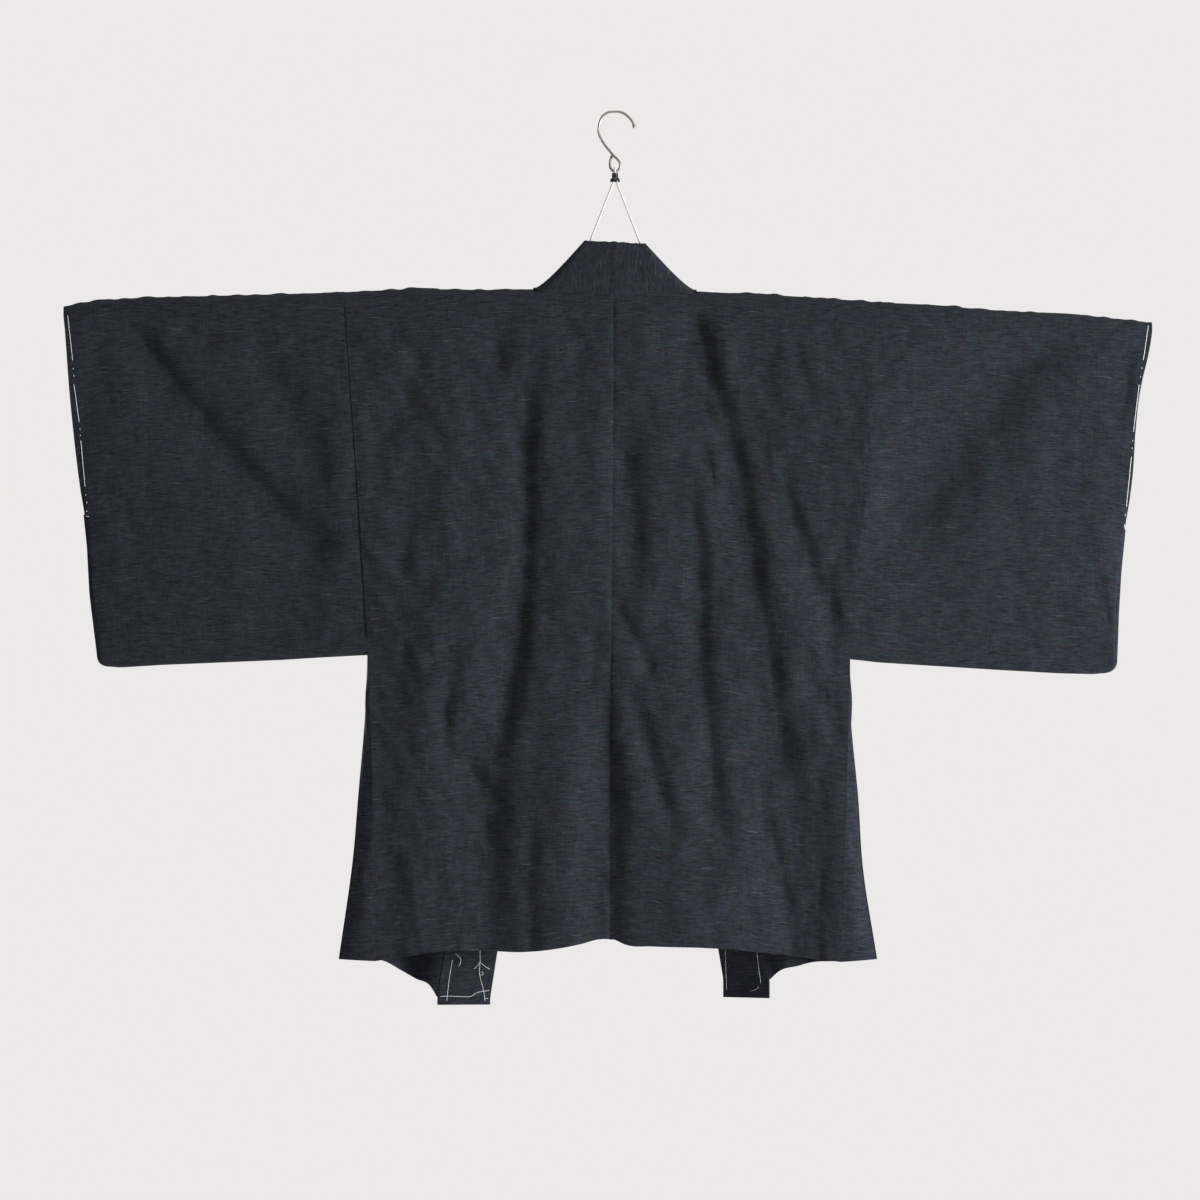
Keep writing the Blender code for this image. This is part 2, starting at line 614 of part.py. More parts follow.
def collar_half(side):
    """Sections of the collar from the centre back to one foot, each as (seam point, free point)."""
    sections = []
    axis = rod_z(side, NECK_X)
    neck_x = side.sign * (NECK_X - SEAM / 2)
    lift = (COLLAR_WALL - WALL) / 2 + 0.6
    radius = CLOTH_RADIUS + lift
    corner = side.collar_corner
    start_turn = pi / 3
    seam_z = NECK_SEAM_Z + SEAM / 2
    for share in np.linspace(0, 1, COLLAR_BACK_ROWS, endpoint=False):
        seam = np.array([side.sign * 88 * share, CLOTH_RADIUS + 0.5, seam_z])
        free = np.array(
            [
                corner.x * share,
                COLLAR_STAND_Y + (COLLAR_TOP_RADIUS - COLLAR_STAND_Y) * share,
                COLLAR_CENTRE_Z + (corner.z - COLLAR_CENTRE_Z) * share,
            ]
        )
        sections.append((seam, free))
    for share in np.linspace(0, 1, COLLAR_TURN_ROWS + 1):
        seam_turn = start_turn + (pi - start_turn) * share
        free_turn = pi * share
        seam = np.array(over_rod(side, neck_x, seam_turn, lift))
        free = np.array(
            [
                corner.x - side.sign * 2.5 * (1 - sin(free_turn)),
                COLLAR_TOP_RADIUS * cos(free_turn),
                corner.z - 2.5 * (1 - sin(free_turn)),
            ]
        )
        sections.append((seam, free))
    seam_z = row_heights(axis, side.underarm.z, side.front_hem[0].z)
    seam_x = x_at(side.collar_seam, seam_z) - side.sign * SEAM / 2
    last_free = sections[-1][1]
    for row in range(1, len(seam_z)):
        z = seam_z[row]
        if row == len(seam_z) - 1:
            z = side.collar_foot
        down = (axis - z) / (axis - side.collar_foot)
        twist = radians(side.band_twist) * smoothstep((down - 0.42) / 0.58)
        depth = max(y_at(FRONT_DEPTH, z), radius)
        lift = (last_free[2] - axis) * (1 - smoothstep((axis - z) / 150.0))
        clear = side.sign * COLLAR_WALL / 2 * abs(sin(twist))
        seam = np.array([seam_x[row] - clear, -depth, z])
        free = seam + np.array(
            [-side.sign * COLLAR_WIDTH * cos(twist), -COLLAR_WIDTH * sin(twist), lift]
        )
        sections.append((seam, free))
    return sections


def add_collar(material, collection):
    """One band: left foot, up the left front, behind the neck, down the right front."""
    left, right = collar_half(LEFT), collar_half(RIGHT)
    sections = left[:0:-1] + right
    share = np.linspace(0, 1, COLLAR_COLUMNS + 1)
    rows = []
    for seam, free in sections:
        points = seam + (free - seam) * share[:, None]
        if free[2] - seam[2] > 50 and abs(free[0]) < NECK_X / 2:
            points[:, 2] -= COLLAR_SAG * np.sin(pi * share**0.6) * smoothstep((abs(seam[0]) - 44) / 50)
        if seam[1] < -CLOTH_RADIUS and free[2] > COLLAR_CLEAR_Z:
            above = (points[:, 2] - COLLAR_CLEAR_Z) / (COLLAR_TOP_Z - COLLAR_CLEAR_Z)
            points[:, 1] = seam[1] + (-COLLAR_TOP_RADIUS - seam[1]) * np.clip(above, 0, 1)
        rows.append(points)
    points = np.array(rows)
    index = np.arange(points.shape[0] * points.shape[1]).reshape(points.shape[:2])
    return add_sheet("collar", points.reshape(-1, 3), grid_faces(index), COLLAR_WALL, material, collection)


def smooth_route(points, spacing):
    """Points along a smooth curve through a route's own points."""
    points = np.array(points, float)
    ends = np.concatenate([[2 * points[0] - points[1]], points, [2 * points[-1] - points[-2]]])
    route = [points[0]]
    for before, start, end, after in zip(ends, ends[1:], ends[2:], ends[3:]):
        pieces = max(1, round(np.linalg.norm(end - start) / spacing))
        slope_in, slope_out = (end - before) / 2, (after - start) / 2
        for step in range(1, pieces + 1):
            t = step / pieces
            bend = 3 * (end - start) - 2 * slope_in - slope_out
            turn = 2 * (start - end) + slope_in + slope_out
            route.append(start + slope_in * t + bend * t**2 + turn * t**3)
    return route


def add_tube(name, route, diameter, material, collection):
    curve = bpy.data.curves.new(name, "CURVE")
    curve.dimensions = "3D"
    curve.bevel_depth = diameter / 2 * MM
    curve.bevel_resolution = 2
    curve.use_fill_caps = True
    spline = curve.splines.new("POLY")
    spline.points.add(len(route) - 1)
    for point, place in zip(spline.points, route):
        point.co = (*(Vector(place) * MM), 1.0)
    return add_object(name, curve, material, collection)


def as_mesh(obj, material):
    """The curve object remade as a mesh with its caps welded."""
    graph = bpy.context.evaluated_depsgraph_get()
    mesh = bpy.data.meshes.new_from_object(obj.evaluated_get(graph))
    shape = bmesh.new()
    shape.from_mesh(mesh)
    bmesh.ops.remove_doubles(shape, verts=shape.verts, dist=1e-6)
    bmesh.ops.recalc_face_normals(shape, faces=shape.faces)
    shape.to_mesh(mesh)
    shape.free()
    mesh.materials.clear()
    mesh.materials.append(material)
    name, collection, matrix = obj.name, obj.users_collection[0], obj.matrix_world.copy()
    bpy.data.objects.remove(obj)
    made = bpy.data.objects.new(name, mesh)
    collection.objects.link(made)
    made.matrix_world = matrix
    return made


def cord_seat(side):
    """Where a leg of the cord meets its arm, and the leg's upper end under the ferrule."""
    foot = np.array([side.sign * CORD_SEAT_X, 0.0, rod_z(side, CORD_SEAT_X) + ROD_RADIUS])
    head = np.array([side.sign * 2.6, 0.0, FERRULE_FOOT - 2.0])
    return foot, head


def move_to(obj, collection):
    for other in list(obj.users_collection):
        other.objects.unlink(obj)
    collection.objects.link(obj)


def add_arm(side, material, collection, cutters):
    """A round arm from the hub to its tip, drilled on top for the cord."""
    start = Vector((side.sign * (HUB_HALF + SEAM), 0, rod_z(side, HUB_HALF + SEAM)))
    end = Vector((side.sign * side.rod_end, 0, rod_z(side, side.rod_end)))
    arm_length = (end - start).length
    bpy.ops.mesh.primitive_cylinder_add(vertices=24, radius=ROD_RADIUS * MM, depth=arm_length * MM)
    arm = bpy.context.object
    arm.name = "hanger_arm_" + side.name
    arm.data.name = arm.name
    arm.location = (start + end) / 2 * MM
    arm.rotation_euler = (end - start).to_track_quat("Z", "Y").to_euler()
    arm.data.materials.append(material)
    arm.data.set_sharp_from_angle(angle=radians(40))
    move_to(arm, collection)
    foot, head = cord_seat(side)
    leg = Vector(head - foot).normalized()
    bpy.ops.mesh.primitive_cylinder_add(
        vertices=12, radius=(CORD / 2 + SEAM) * MM, depth=4 * CORD_HOLE_DEPTH * MM
    )
    drill = bpy.context.object
    drill.name = "cord_hole_" + side.name
    drill.location = (Vector(foot) + leg * CORD_HOLE_DEPTH) * MM
    drill.rotation_euler = leg.to_track_quat("Z", "Y").to_euler()
    drill.hide_render = True
    drill.display_type = "WIRE"
    move_to(drill, cutters)
    cut = arm.modifiers.new("Cord hole", "BOOLEAN")
    cut.object = drill
    cut.operation = "DIFFERENCE"
    cut.solver = "EXACT"
    return arm


def add_hub(material, collection):
    """The joint between the two drooping arms."""
    route = [
        (HUB_HALF, 0, rod_z(LEFT, HUB_HALF)),
        (0, 0, ROD_TOP_CENTRE),
        (-HUB_HALF, 0, rod_z(RIGHT, HUB_HALF)),
    ]
    curve_object = add_tube("hanger_hub", route, 2 * ROD_RADIUS, material, collection)
    curve_object.data.bevel_resolution = 10
    return curve_object


def add_ferrule(material, collection):
    """A turned stopper with a flared foot, bored for both legs of the cord."""
    flare = FERRULE_BELL - FERRULE_RADIUS
    outer = [
        Profile(FERRULE_RADIUS - 0.1, FERRULE_TOP),
        Profile(FERRULE_RADIUS, FERRULE_TOP - 0.3),
        Profile(FERRULE_RADIUS, FERRULE_SHOULDER),
        Profile(FERRULE_RADIUS + flare * 0.45, FERRULE_SHOULDER - 0.9),
        Profile(FERRULE_BELL - 0.3, FERRULE_SHOULDER - 2.2),
        Profile(FERRULE_BELL, FERRULE_FOOT + 0.6),
        Profile(FERRULE_BELL - 0.5, FERRULE_FOOT),
    ]
    inner = [
        Profile(FERRULE_BORE + 1.6, FERRULE_FOOT),
        Profile(FERRULE_BORE, FERRULE_FOOT + 2.4),
        Profile(FERRULE_BORE, FERRULE_TOP - 1.2),
        Profile(FERRULE_BORE + 0.4, FERRULE_TOP),
    ]
    mesh = bpy.data.meshes.new("cord_ferrule")
    profile = outer + inner
    edges = [(i, (i + 1) % len(profile)) for i in range(len(profile))]
    mesh.from_pydata([(p.radius * MM, 0, p.z * MM) for p in profile], edges, [])
    ferrule = add_object("cord_ferrule", mesh, material, collection)
    turn = ferrule.modifiers.new("Turn", "SCREW")
    turn.steps = turn.render_steps = 24
    turn.use_merge_vertices = True
    turn.merge_threshold = 1e-5
    turn.use_smooth_shade = True
    return ferrule


def joined(obj, other, material):
    """The object as a mesh with another joined to it by a Boolean union."""
    union = obj.modifiers.new("Union", "BOOLEAN")
    union.operation = "UNION"
    union.solver = "EXACT"
    union.object = other
    bpy.context.view_layer.update()
    graph = bpy.context.evaluated_depsgraph_get()
    mesh = bpy.data.meshes.new_from_object(obj.evaluated_get(graph))
    obj.modifiers.clear()
    obj.data = mesh
    mesh.materials.clear()
    mesh.materials.append(material)
    mesh.shade_smooth()
    bpy.data.objects.remove(other, do_unlink=True)
    return obj


def add_hook(material, collection):
    """A bent wire with a ball tip: its arc bears on the rail at the origin, its eye carries the cord."""
    arc = (
        Bend(-23, 0, -16), Bend(-20, 0, -9), Bend(-12.5, 0, -1), Bend(-6, 0, 1.9),
        Bend(0, 0, 2.4), Bend(8.5, 0, 1.2), Bend(17, 0, -5.5), Bend(20.7, 0, -19),
        Bend(18.9, 0, -27.5), Bend(13.3, 0, -37.5), Bend(6, 0, -46), Bend(2.2, 0.6, -51.5),
    )
    turns = np.radians(np.arange(40, 321, 28))
    # The wire comes down behind its own end, lies in the hook's plane at the foot of the eye
    # and goes up in front.
    sway = np.interp(np.linspace(0, 1, len(turns)), (0, 0.4, 0.5, 1), (0.9, 0, 0, -2.6))
    eye = [
        Bend(-EYE_RADIUS * sin(turn), y, EYE_CENTRE_Z + EYE_RADIUS * cos(turn))
        for turn, y in zip(turns, sway)
    ]
    end = (Bend(4.6, -3.3, -54.0), Bend(7.2, -3.5, -50.5))
    route = smooth_route([*arc, *eye, *end], 3.6)
    wire = as_mesh(add_tube("hook", route, WIRE, material, collection), material)
    bpy.ops.mesh.primitive_uv_sphere_add(segments=12, ring_count=8, radius=BALL / 2 * MM)
    ball = bpy.context.object
    ball.location = Vector(route[0]) * MM
    return joined(wire, ball, material)


def add_cord(material, collection):
    """One length of cord: up from the left arm, over the hook's eye, down to the right arm."""
    eye_foot = EYE_CENTRE_Z - EYE_RADIUS
    rising = (
        Bend(0, 1.5, FERRULE_TOP - 1.0), Bend(0, 2.9, eye_foot - 1.2), Bend(0, 3.2, eye_foot + 0.3),
        Bend(0, 2.3, eye_foot + 2.5),
    )
    falling = [Bend(0, -bend.y, bend.z) for bend in reversed(rising)]
    over_eye = [*rising, Bend(0, 0, eye_foot + 3.3), *falling]
    # Inside the ferrule the two legs turn a quarter round each other.
    inside = [
        Bend(1.5 * sin(turn), 1.5 * cos(turn), FERRULE_TOP - 1.0 - 16.0 * turn / pi)
        for turn in np.linspace(0, pi / 2, 5)[1:]
    ]
    legs = []
    for side in (LEFT, RIGHT):
        foot, head = cord_seat(side)
        legs.append([foot + (head - foot) * share for share in (-0.02, 0.25, 0.5, 0.75, 1.0)])
    left_inside = inside[::-1]
    right_inside = [Bend(-bend.x, -bend.y, bend.z) for bend in inside]
    route = smooth_route([*legs[0], *left_inside, *over_eye, *right_inside, *legs[1][::-1]], 7.0)
    return as_mesh(add_tube("hanger_cord", route, CORD, material, collection), material)


def add_himo_loop(side, material, collection):
    """A small loop on the front of the collar's seam, for the cord that ties the fronts."""
    seam_x = x_at(side.collar_seam, LOOP_Z)
    y = -(y_at(FRONT_DEPTH, LOOP_Z) + (COLLAR_WALL + LOOP_CORD) / 2 + SEAM)
    shape = ((2, 3), (10, 3.4), (17, 2.6), (19.5, 0), (17, -2.6), (10, -3.4), (2, -3))
    bends = [Bend(seam_x - side.sign * reach, y, LOOP_Z + rise) for reach, rise in shape]
    route = smooth_route(bends, 3.0)
    name = "himo_loop_" + side.name
    return as_mesh(add_tube(name, route, LOOP_CORD, material, collection), material)


def main():
    clear_scene()
    jacket = new_collection("Haori jacket")
    cutters = new_collection("Cutters")
    body_silk = new_material("Body silk", (0.030, 0.033, 0.042), 0.72)
    sleeve_silk = new_material("Sleeve silk", (0.034, 0.038, 0.048), 0.72)
    gusset_silk = new_material("Gusset silk", (0.027, 0.030, 0.038), 0.72)
    collar_silk = new_material("Collar silk", (0.032, 0.035, 0.044), 0.70)
    loop_silk = new_material("Loop silk", (0.05, 0.05, 0.06), 0.75)
    wood = new_material("Rod lacquer", (0.10, 0.07, 0.05), 0.4)
    steel = new_material("Hook steel", (0.60, 0.60, 0.60), 0.25, 1.0)
    black = new_material("Black stopper", (0.02, 0.02, 0.02), 0.4)
    white = new_material("White cord", (0.85, 0.85, 0.82), 0.8)
    for side in (LEFT, RIGHT):
        add_body(side, body_silk, jacket)
        add_sleeve(side, sleeve_silk, jacket)
        add_gusset(side, gusset_silk, jacket)
        add_himo_loop(side, loop_silk, jacket)
        add_arm(side, wood, jacket, cutters)
    add_collar(collar_silk, jacket)
    add_hub(wood, jacket)
    add_ferrule(black, jacket)
    add_hook(steel, jacket)
    add_cord(white, jacket)


main()
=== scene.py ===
"""A men's haori jacket hanging on a kimono hanger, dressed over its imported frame.

Run as a script. Tables are in millimetres. +Z is up, the back of the jacket faces +Y
and the wearer's left sleeve points along +X. The origin is where the hook bears on
its rail.
"""

from collections import namedtuple
from math import cos, pi, radians, sin, tan

import bmesh
import bpy
import numpy as np
from bpy.props import FloatProperty, FloatVectorProperty, PointerProperty
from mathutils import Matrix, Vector
from mathutils.bvhtree import BVHTree


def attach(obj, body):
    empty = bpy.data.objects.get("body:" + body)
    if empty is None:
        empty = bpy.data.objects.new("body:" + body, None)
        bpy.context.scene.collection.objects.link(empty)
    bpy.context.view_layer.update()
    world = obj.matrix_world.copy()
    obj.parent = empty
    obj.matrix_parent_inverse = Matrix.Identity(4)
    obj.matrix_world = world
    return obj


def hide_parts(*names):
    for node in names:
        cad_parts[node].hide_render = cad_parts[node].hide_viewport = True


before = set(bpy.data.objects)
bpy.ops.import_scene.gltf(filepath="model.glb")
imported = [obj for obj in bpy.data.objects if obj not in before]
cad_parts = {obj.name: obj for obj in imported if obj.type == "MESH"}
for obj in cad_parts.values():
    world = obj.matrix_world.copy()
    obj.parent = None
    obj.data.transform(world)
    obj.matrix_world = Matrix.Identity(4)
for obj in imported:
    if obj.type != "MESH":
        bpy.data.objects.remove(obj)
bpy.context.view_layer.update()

bl_info = {
    "name": "Haori Jacket",
    "version": (1, 0, 0),
    "blender": (4, 5, 0),
    "location": "View3D > Sidebar > Haori",
    "description": "Builds a haori jacket on a kimono hanger, piece by piece",
    "category": "Add Mesh",
}

MM = 0.001

# Cloth
PICK = 0.001  # the pitch of the picks that show, in the weave's metres
FINE_SNAP = 0.00005  # the pitch along a thread, fine enough not to show
WALL = 1.2
COLLAR_WALL = 2.6
EDGE_ROUND = 0.36  # how much of its wall a cloth's edge is rounded by
SEAM = 0.3  # gap between the hanger's pieces
JOIN = -0.08  # gap between the edges of cloth sewn to each other: they bite a little
COLLAR_WIDTH = 64.0
UNDERARM_HALF = 9.0
GUSSET_ROLL = 5.0  # how far a wide side piece bulges outwards
GUSSET_ROLL_WIDTH = 22.0  # a much narrower one than this bulges hardly at all
GUSSET_BITE = 0.25  # how far a side piece reaches into the back's edge
GUSSET_LAP = 1.65  # how much narrower it is than the space between the seams
SLEEVE_FOLD = 3.5
SLEEVE_FULLNESS = 3.0
SLEEVE_LEVEL = 0.45  # how much smoother than the body a sleeve hangs
SLEEVE_START = 290.0
SLEEVE_CHANGE = 90.0

# Hanger
ROD_RADIUS = 9.0
TIP_ROUND = 1.4
ROD_TOP_CENTRE = -220.0
HUB_HALF = 24.0
HUB_BEND = 5.0
CORD_SEAT_X = 53.0
CORD_HOLE_DEPTH = 5.0
FERRULE_TOP = -71.2
FERRULE_SHOULDER = -77.3
FERRULE_FOOT = -82.2
FERRULE_RADIUS = 3.9
FERRULE_BELL = 6.1
FERRULE_BORE = 3.1
EYE_FOOT = -69.0
CLOTH_RADIUS = ROD_RADIUS + SEAM + 0.1 + WALL / 2

# Front loops
LOOP_Z = -560.0
# Their bends: how far each stands out from the seam, and its rise above LOOP_Z
LOOP_SHAPE = ((2, 3), (10, 3.4), (17, 2.6), (19.5, 0), (17, -2.6), (10, -3.4), (2, -3))

# Neck
NECK_SEAM_Z = -213.6
NECK_X = 98.0
NECK_SAG = 3.0
NECK_TURN_X = 84.0  # where the cloth behind the neck starts to turn over the rod
BUMPS_START_X = 104.0  # where the fold over the rod starts to be uneven
COLLAR_TOP_RADIUS = 4.5
COLLAR_TURN_X = 88.0  # where the seam behind the neck starts to come forwards
COLLAR_LIFT = 0.6  # gap between the collar and the cloth that it is sewn over
SEAM_TURN = pi / 3  # how far round the rod the collar's seam starts down the front
COLLAR_TOP_Z = -157.0
COLLAR_CENTRE_Z = -154.5
COLLAR_STAND_Y = 6.5
CORNER_BULGE = 3.0
COLLAR_SAG = 6.0
COLLAR_SAG_X = 44.0  # where the standing collar starts to sag towards its corner
PUCKER_TOP_Z = -300.0  # where the band's puckers start on the fronts
COLLAR_CLEAR_Z = -206.0
COLLAR_LEVEL = 150.0  # how far below the rod the band comes level
TWIST_START, TWIST_RUN = 0.42, 0.58  # shares of the way down to the collar's foot
INNER_EDGE = 0.52  # share of the band's width where its folded-in edge shows
BAND_SKEW = 90.0  # how far from its middle the band's weave runs straight across

# Grid
OVER_STEPS = 24
NECK_STEPS = OVER_STEPS // 4
EDGE_TURNS = 8
EDGE_RUN = (0, 0.7, 1.4, 2.3, 3.6, 5.6)  # columns beside a seam, closer together
UPPER_LENGTH = 424  # rod to underarm
LOWER_LENGTH = 375  # underarm to hem
UPPER_SHARE = 12 / 22  # the first one's share of both
NECK_WIDTH = 100  # centre seam to the end of the neck
PANEL_WIDTH = 215  # from there to the side seam
NECK_COLUMN_FOOT = 165  # x where the column below the end of the neck meets the hem
SLEEVE_WIDTH = 345
GUSSET_WIDTH = 50
NECK_SECTIONS = 25
TURN_SECTIONS = 23
BAND_COLUMNS = 17
# Shares of a sleeve's columns that run along its bottom and to the end of its corner
BOTTOM_SHARE = 0.5625
CORNER_SHARE = 0.75
# More shares of them: on each side of a column, what sets its edge's direction, and how
# far from the body the edge turns level and its fold grows narrow
EDGE_REACH = 0.03
LEVEL_SHARE = 0.06
NARROW_SHARE = 0.15

# Seams
# Beside a pressed seam the cloth sinks by so much over so wide a strip, at +x and at -x
CENTRE_SINK = {1: (0.45, 3.0), -1: (0.9, 2.6)}
ARMHOLE_SINK = {1: (1.6, 7.0), -1: (0.2, 5.0)}
SLEEVE_SINK = {1: (3.0, 30.0), -1: (0.2, 5.0)}
COLLAR_SINK = (1.3, 2.2)

# How far from what holds the cloth its folds and rumples come in fully
BELOW_ROD = 60.0
ROUND_UNDERARM = 45.0
BESIDE_SEAM = 25.0
ABOVE_UNDERARM = 40.0
FOLDS_BELOW_ROD = 36.0
FOLDS_BESIDE_SEAM = 30.0
FOLDS_BESIDE_SLEEVE_SEAM = 40.0
SIDE_CHANGE = 12.0  # the run over which a trough goes from one side's width to the other's
RIPPLE_COUNT = 44
BACK_SEED = 11
FRONT_SEED = 23

# Threads
ROUTE_STEP = 1.0
THREAD_STEP = 1.2
ABOVE_CLOTH = 200.0  # where a thread is dropped from, onto the cloth
STITCH_PITCH = 7.0
HALF_STITCH = 1.1
# How far to either side a thread is looked for when the cloth's edge falls short of it
NEARBY = sorted(range(-12, 13), key=abs)

# View, in metres
VIEW_CENTRE = (0.018, -0.5844)
VIEW_WIDTH = 1.44  # of the upright plane at y = VIEW_PLANE, across the jacket's back
VIEW_PLANE = 0.015
SENSOR = 36.0
FLOOR_Z = -2.6
FLOOR_RADIUS = 7.5
LAMP_AIM = (0.0, 0.0, -0.6)

Point = namedtuple("Point", "x z")
Depth = namedtuple("Depth", "z y")
Ring = namedtuple("Ring", "radius z")
Bend = namedtuple("Bend", "x y z")
Rows = namedtuple("Rows", "upper lower share")
Cloth = namedtuple("Cloth", "points faces uv uv_faces")
# A fold is a soft trough. Its path follows the steepest line of its wall towards -x.
# The rest are its depth, how far it reaches on the side towards +x and on the side
# towards -x, how many times wider it is at its foot, and the share of its length over
# which it fades in at the top and out at the bottom.
Fold = namedtuple("Fold", "depth wide_left wide_right grow fade_in fade_out path")

# The vertical folds that take up a front's spare width: how many, how much wider they
# get towards the side, whether the first one from the collar is a hollow (1) or a
# ridge (-1), and how far the ridges fall short of the hollows
Wave = namedtuple("Wave", "folds lead way short")

# Rumples of one kind: their height, and their wavelengths across and along the cloth
Rumple = namedtuple("Rumple", "height across along")
RUMPLES = (Rumple(0.7, 62, 84), Rumple(0.2, 21, 27), Rumple(0.8, 95, 420))

Lamp = namedtuple("Lamp", "name place size power colour")
LAMPS = (
    Lamp("Window", (-3.2, 1.7, -0.62), 1.4, 205.0, (0.96, 1.0, 1.05)),
    Lamp("Fill", (1.4, -3.0, -0.2), 1.6, 45.0, (1.0, 0.98, 0.96)),
)

# What differs between the sides. droop is the slope of the rod's arm in degrees, rod_end
# where it stops, tip_drop how much lower the cloth lies at the cuff for want of it, and
# band_twist how far the collar's foot is turned forwards, in degrees. The rows of points
# follow seams and hems. sleeve_bottom and sleeve_edge are the sleeve's sewn edge below
# its cuff.
Side = namedtuple(
    "Side",
    "name sign droop rod_end tip_drop underarm shoulder back_hem front_hem body_side gusset_back"
    " gusset_front collar_seam collar_foot band_twist front_wave collar_corner sleeve_bottom"
    " sleeve_edge cuff",
)

BACK_FOLDS = (
    Fold(
        9.5, 36, 12, 1.6, 0.04, 0.1,
        ((-97, -222), (-116, -284), (-132, -344), (-151, -404), (-163, -464), (-173, -524),
         (-184, -584), (-196, -644), (-204, -704), (-211, -758), (-218, -806)),
    ),
    Fold(
        16.5, 60, 33, 1.3, 0.35, 0.0,
        ((-210, -680), (-221, -770), (-234, -836), (-242, -896), (-247, -1010)),
    ),
    Fold(
        3.4, 30, 9, 1.1, 0.4, 0.0,
        ((-186, -776), (-190, -836), (-198, -884), (-209, -932), (-216, -1010)),
    ),
    Fold(
        8.6, 34, 12, 1.2, 0.3, 0.15,
        ((95, -248), (96, -344), (100, -404), (100, -524), (102, -584), (108, -644), (118, -704),
         (131, -758), (148, -812)),
    ),
    Fold(
        4.5, 26, 13, 1.2, 0.35, 0.3,
        ((98, -488), (101, -560), (106, -632), (116, -704), (131, -758), (145, -806)),
    ),
    Fold(
        15.0, 54, 34, 1.25, 0.3, 0.0,
        ((126, -734), (136, -800), (133, -860), (127, -932), (124, -1010)),
    ),
    Fold(4.0, 14, 8, 1.0, 0.3, 0.0, ((95, -824), (94, -884), (97, -944), (94, -1010))),
    Fold(
        9.5, 20, 11, 1.7, 0.5, 0.0,
        ((2, -620), (2, -704), (-1, -788), (-5, -860), (-8, -920), (-8, -1010)),
    ),
    Fold(
        7.5, 26, 19, 0.9, 0.25, 0.3,
        ((-16, -344), (-23, -404), (-28, -476), (-34, -548), (-37, -596)),
    ),
    Fold(6.0, 11, 7, 1.0, 0.15, 0.2, ((0, -582), (-18, -608), (-36, -642), (-52, -683))),
    Fold(
        5.0, 14, 9, 1.0, 0.3, 0.3,
        ((-8, -650), (-32, -710), (-50, -776), (-73, -842), (-90, -896)),
    ),
    Fold(
        8.5, 26, 9, 1.5, 0.3, 0.2,
        ((-95, -392), (-100, -476), (-107, -536), (-110, -596), (-110, -656), (-115, -716),
         (-124, -776), (-132, -848), (-144, -932)),
    ),
    Fold(1.8, 12, 7, 1.0, 0.3, 0.3, ((-107, -374), (-116, -416), (-124, -464))),
    Fold(2.0, 14, 6, 1.0, 0.3, 0.3, ((19, -584), (20, -644), (30, -704), (36, -782))),
    Fold(2.4, 14, 8, 1.0, 0.4, 0.0, ((16, -884), (18, -944), (18, -1010))),
    Fold(2.0, 14, 9, 1.0, 0.3, 0.3, ((71, -224), (48, -254), (20, -294))),
    Fold(2.4, 20, 12, 1.0, 0.3, 0.4, ((126, -242), (136, -284), (138, -338))),
    Fold(3.4, 16, 9, 1.0, 0.3, 0.2, ((196, -674), (198, -716), (198, -767))),
    Fold(4.4, 16, 10, 1.0, 0.3, 0.3, ((208, -746), (186, -773), (162, -793), (145, -810))),
    Fold(4.0, 28, 20, 1.0, 0.45, 0.3, ((236, -296), (253, -362), (275, -410), (296, -446))),
    Fold(1.8, 14, 8, 1.0, 0.3, 0.4, ((229, -464), (248, -518), (256, -590))),
    Fold(1.8, 12, 8, 1.0, 0.4, 0.4, ((258, -584), (244, -632), (248, -680))),
    Fold(
        6.6, 20, 12, 1.1, 0.3, 0.1,
        ((-197, -392), (-212, -452), (-229, -506), (-251, -560), (-272, -599), (-292, -642)),
    ),
    Fold(5.5, 13, 10, 1.0, 0.35, 0.1, ((-222, -659), (-246, -685), (-268, -712), (-282, -746))),
    Fold(2.6, 24, 14, 1.0, 0.3, 0.4, ((-199, -254), (-193, -308), (-200, -368))),
    Fold(1.8, 12, 8, 1.0, 0.3, 0.3, ((-216, -254), (-229, -302), (-244, -350))),
    Fold(1.6, 10, 7, 1.0, 0.3, 0.3, ((-56, -224), (-62, -260), (-54, -296))),
)
LEFT_SLEEVE_FOLDS = (
    Fold(
        9.4, 34, 14, 1.1, 0.08, 0.12,
        ((596, -206), (577, -240), (559, -270), (536, -302), (512, -332), (492, -355), (467, -389),
         (443, -416), (421, -443), (396, -468), (370, -490), (342, -510), (316, -528)),
    ),
    Fold(3.6, 22, 12, 1.0, 0.2, 0.4, ((522, -241), (492, -262), (464, -275))),
    Fold(
        5.8, 32, 22, 1.1, 0.2, 0.3,
        ((443, -266), (408, -296), (388, -330), (372, -362), (356, -398), (342, -431),
         (328, -452)),
    ),
    Fold(2.0, 18, 12, 1.0, 0.3, 0.3, ((610, -242), (611, -284), (604, -335), (589, -371))),
    Fold(1.6, 14, 9, 1.0, 0.4, 0.4, ((592, -440), (570, -518), (558, -554))),
)
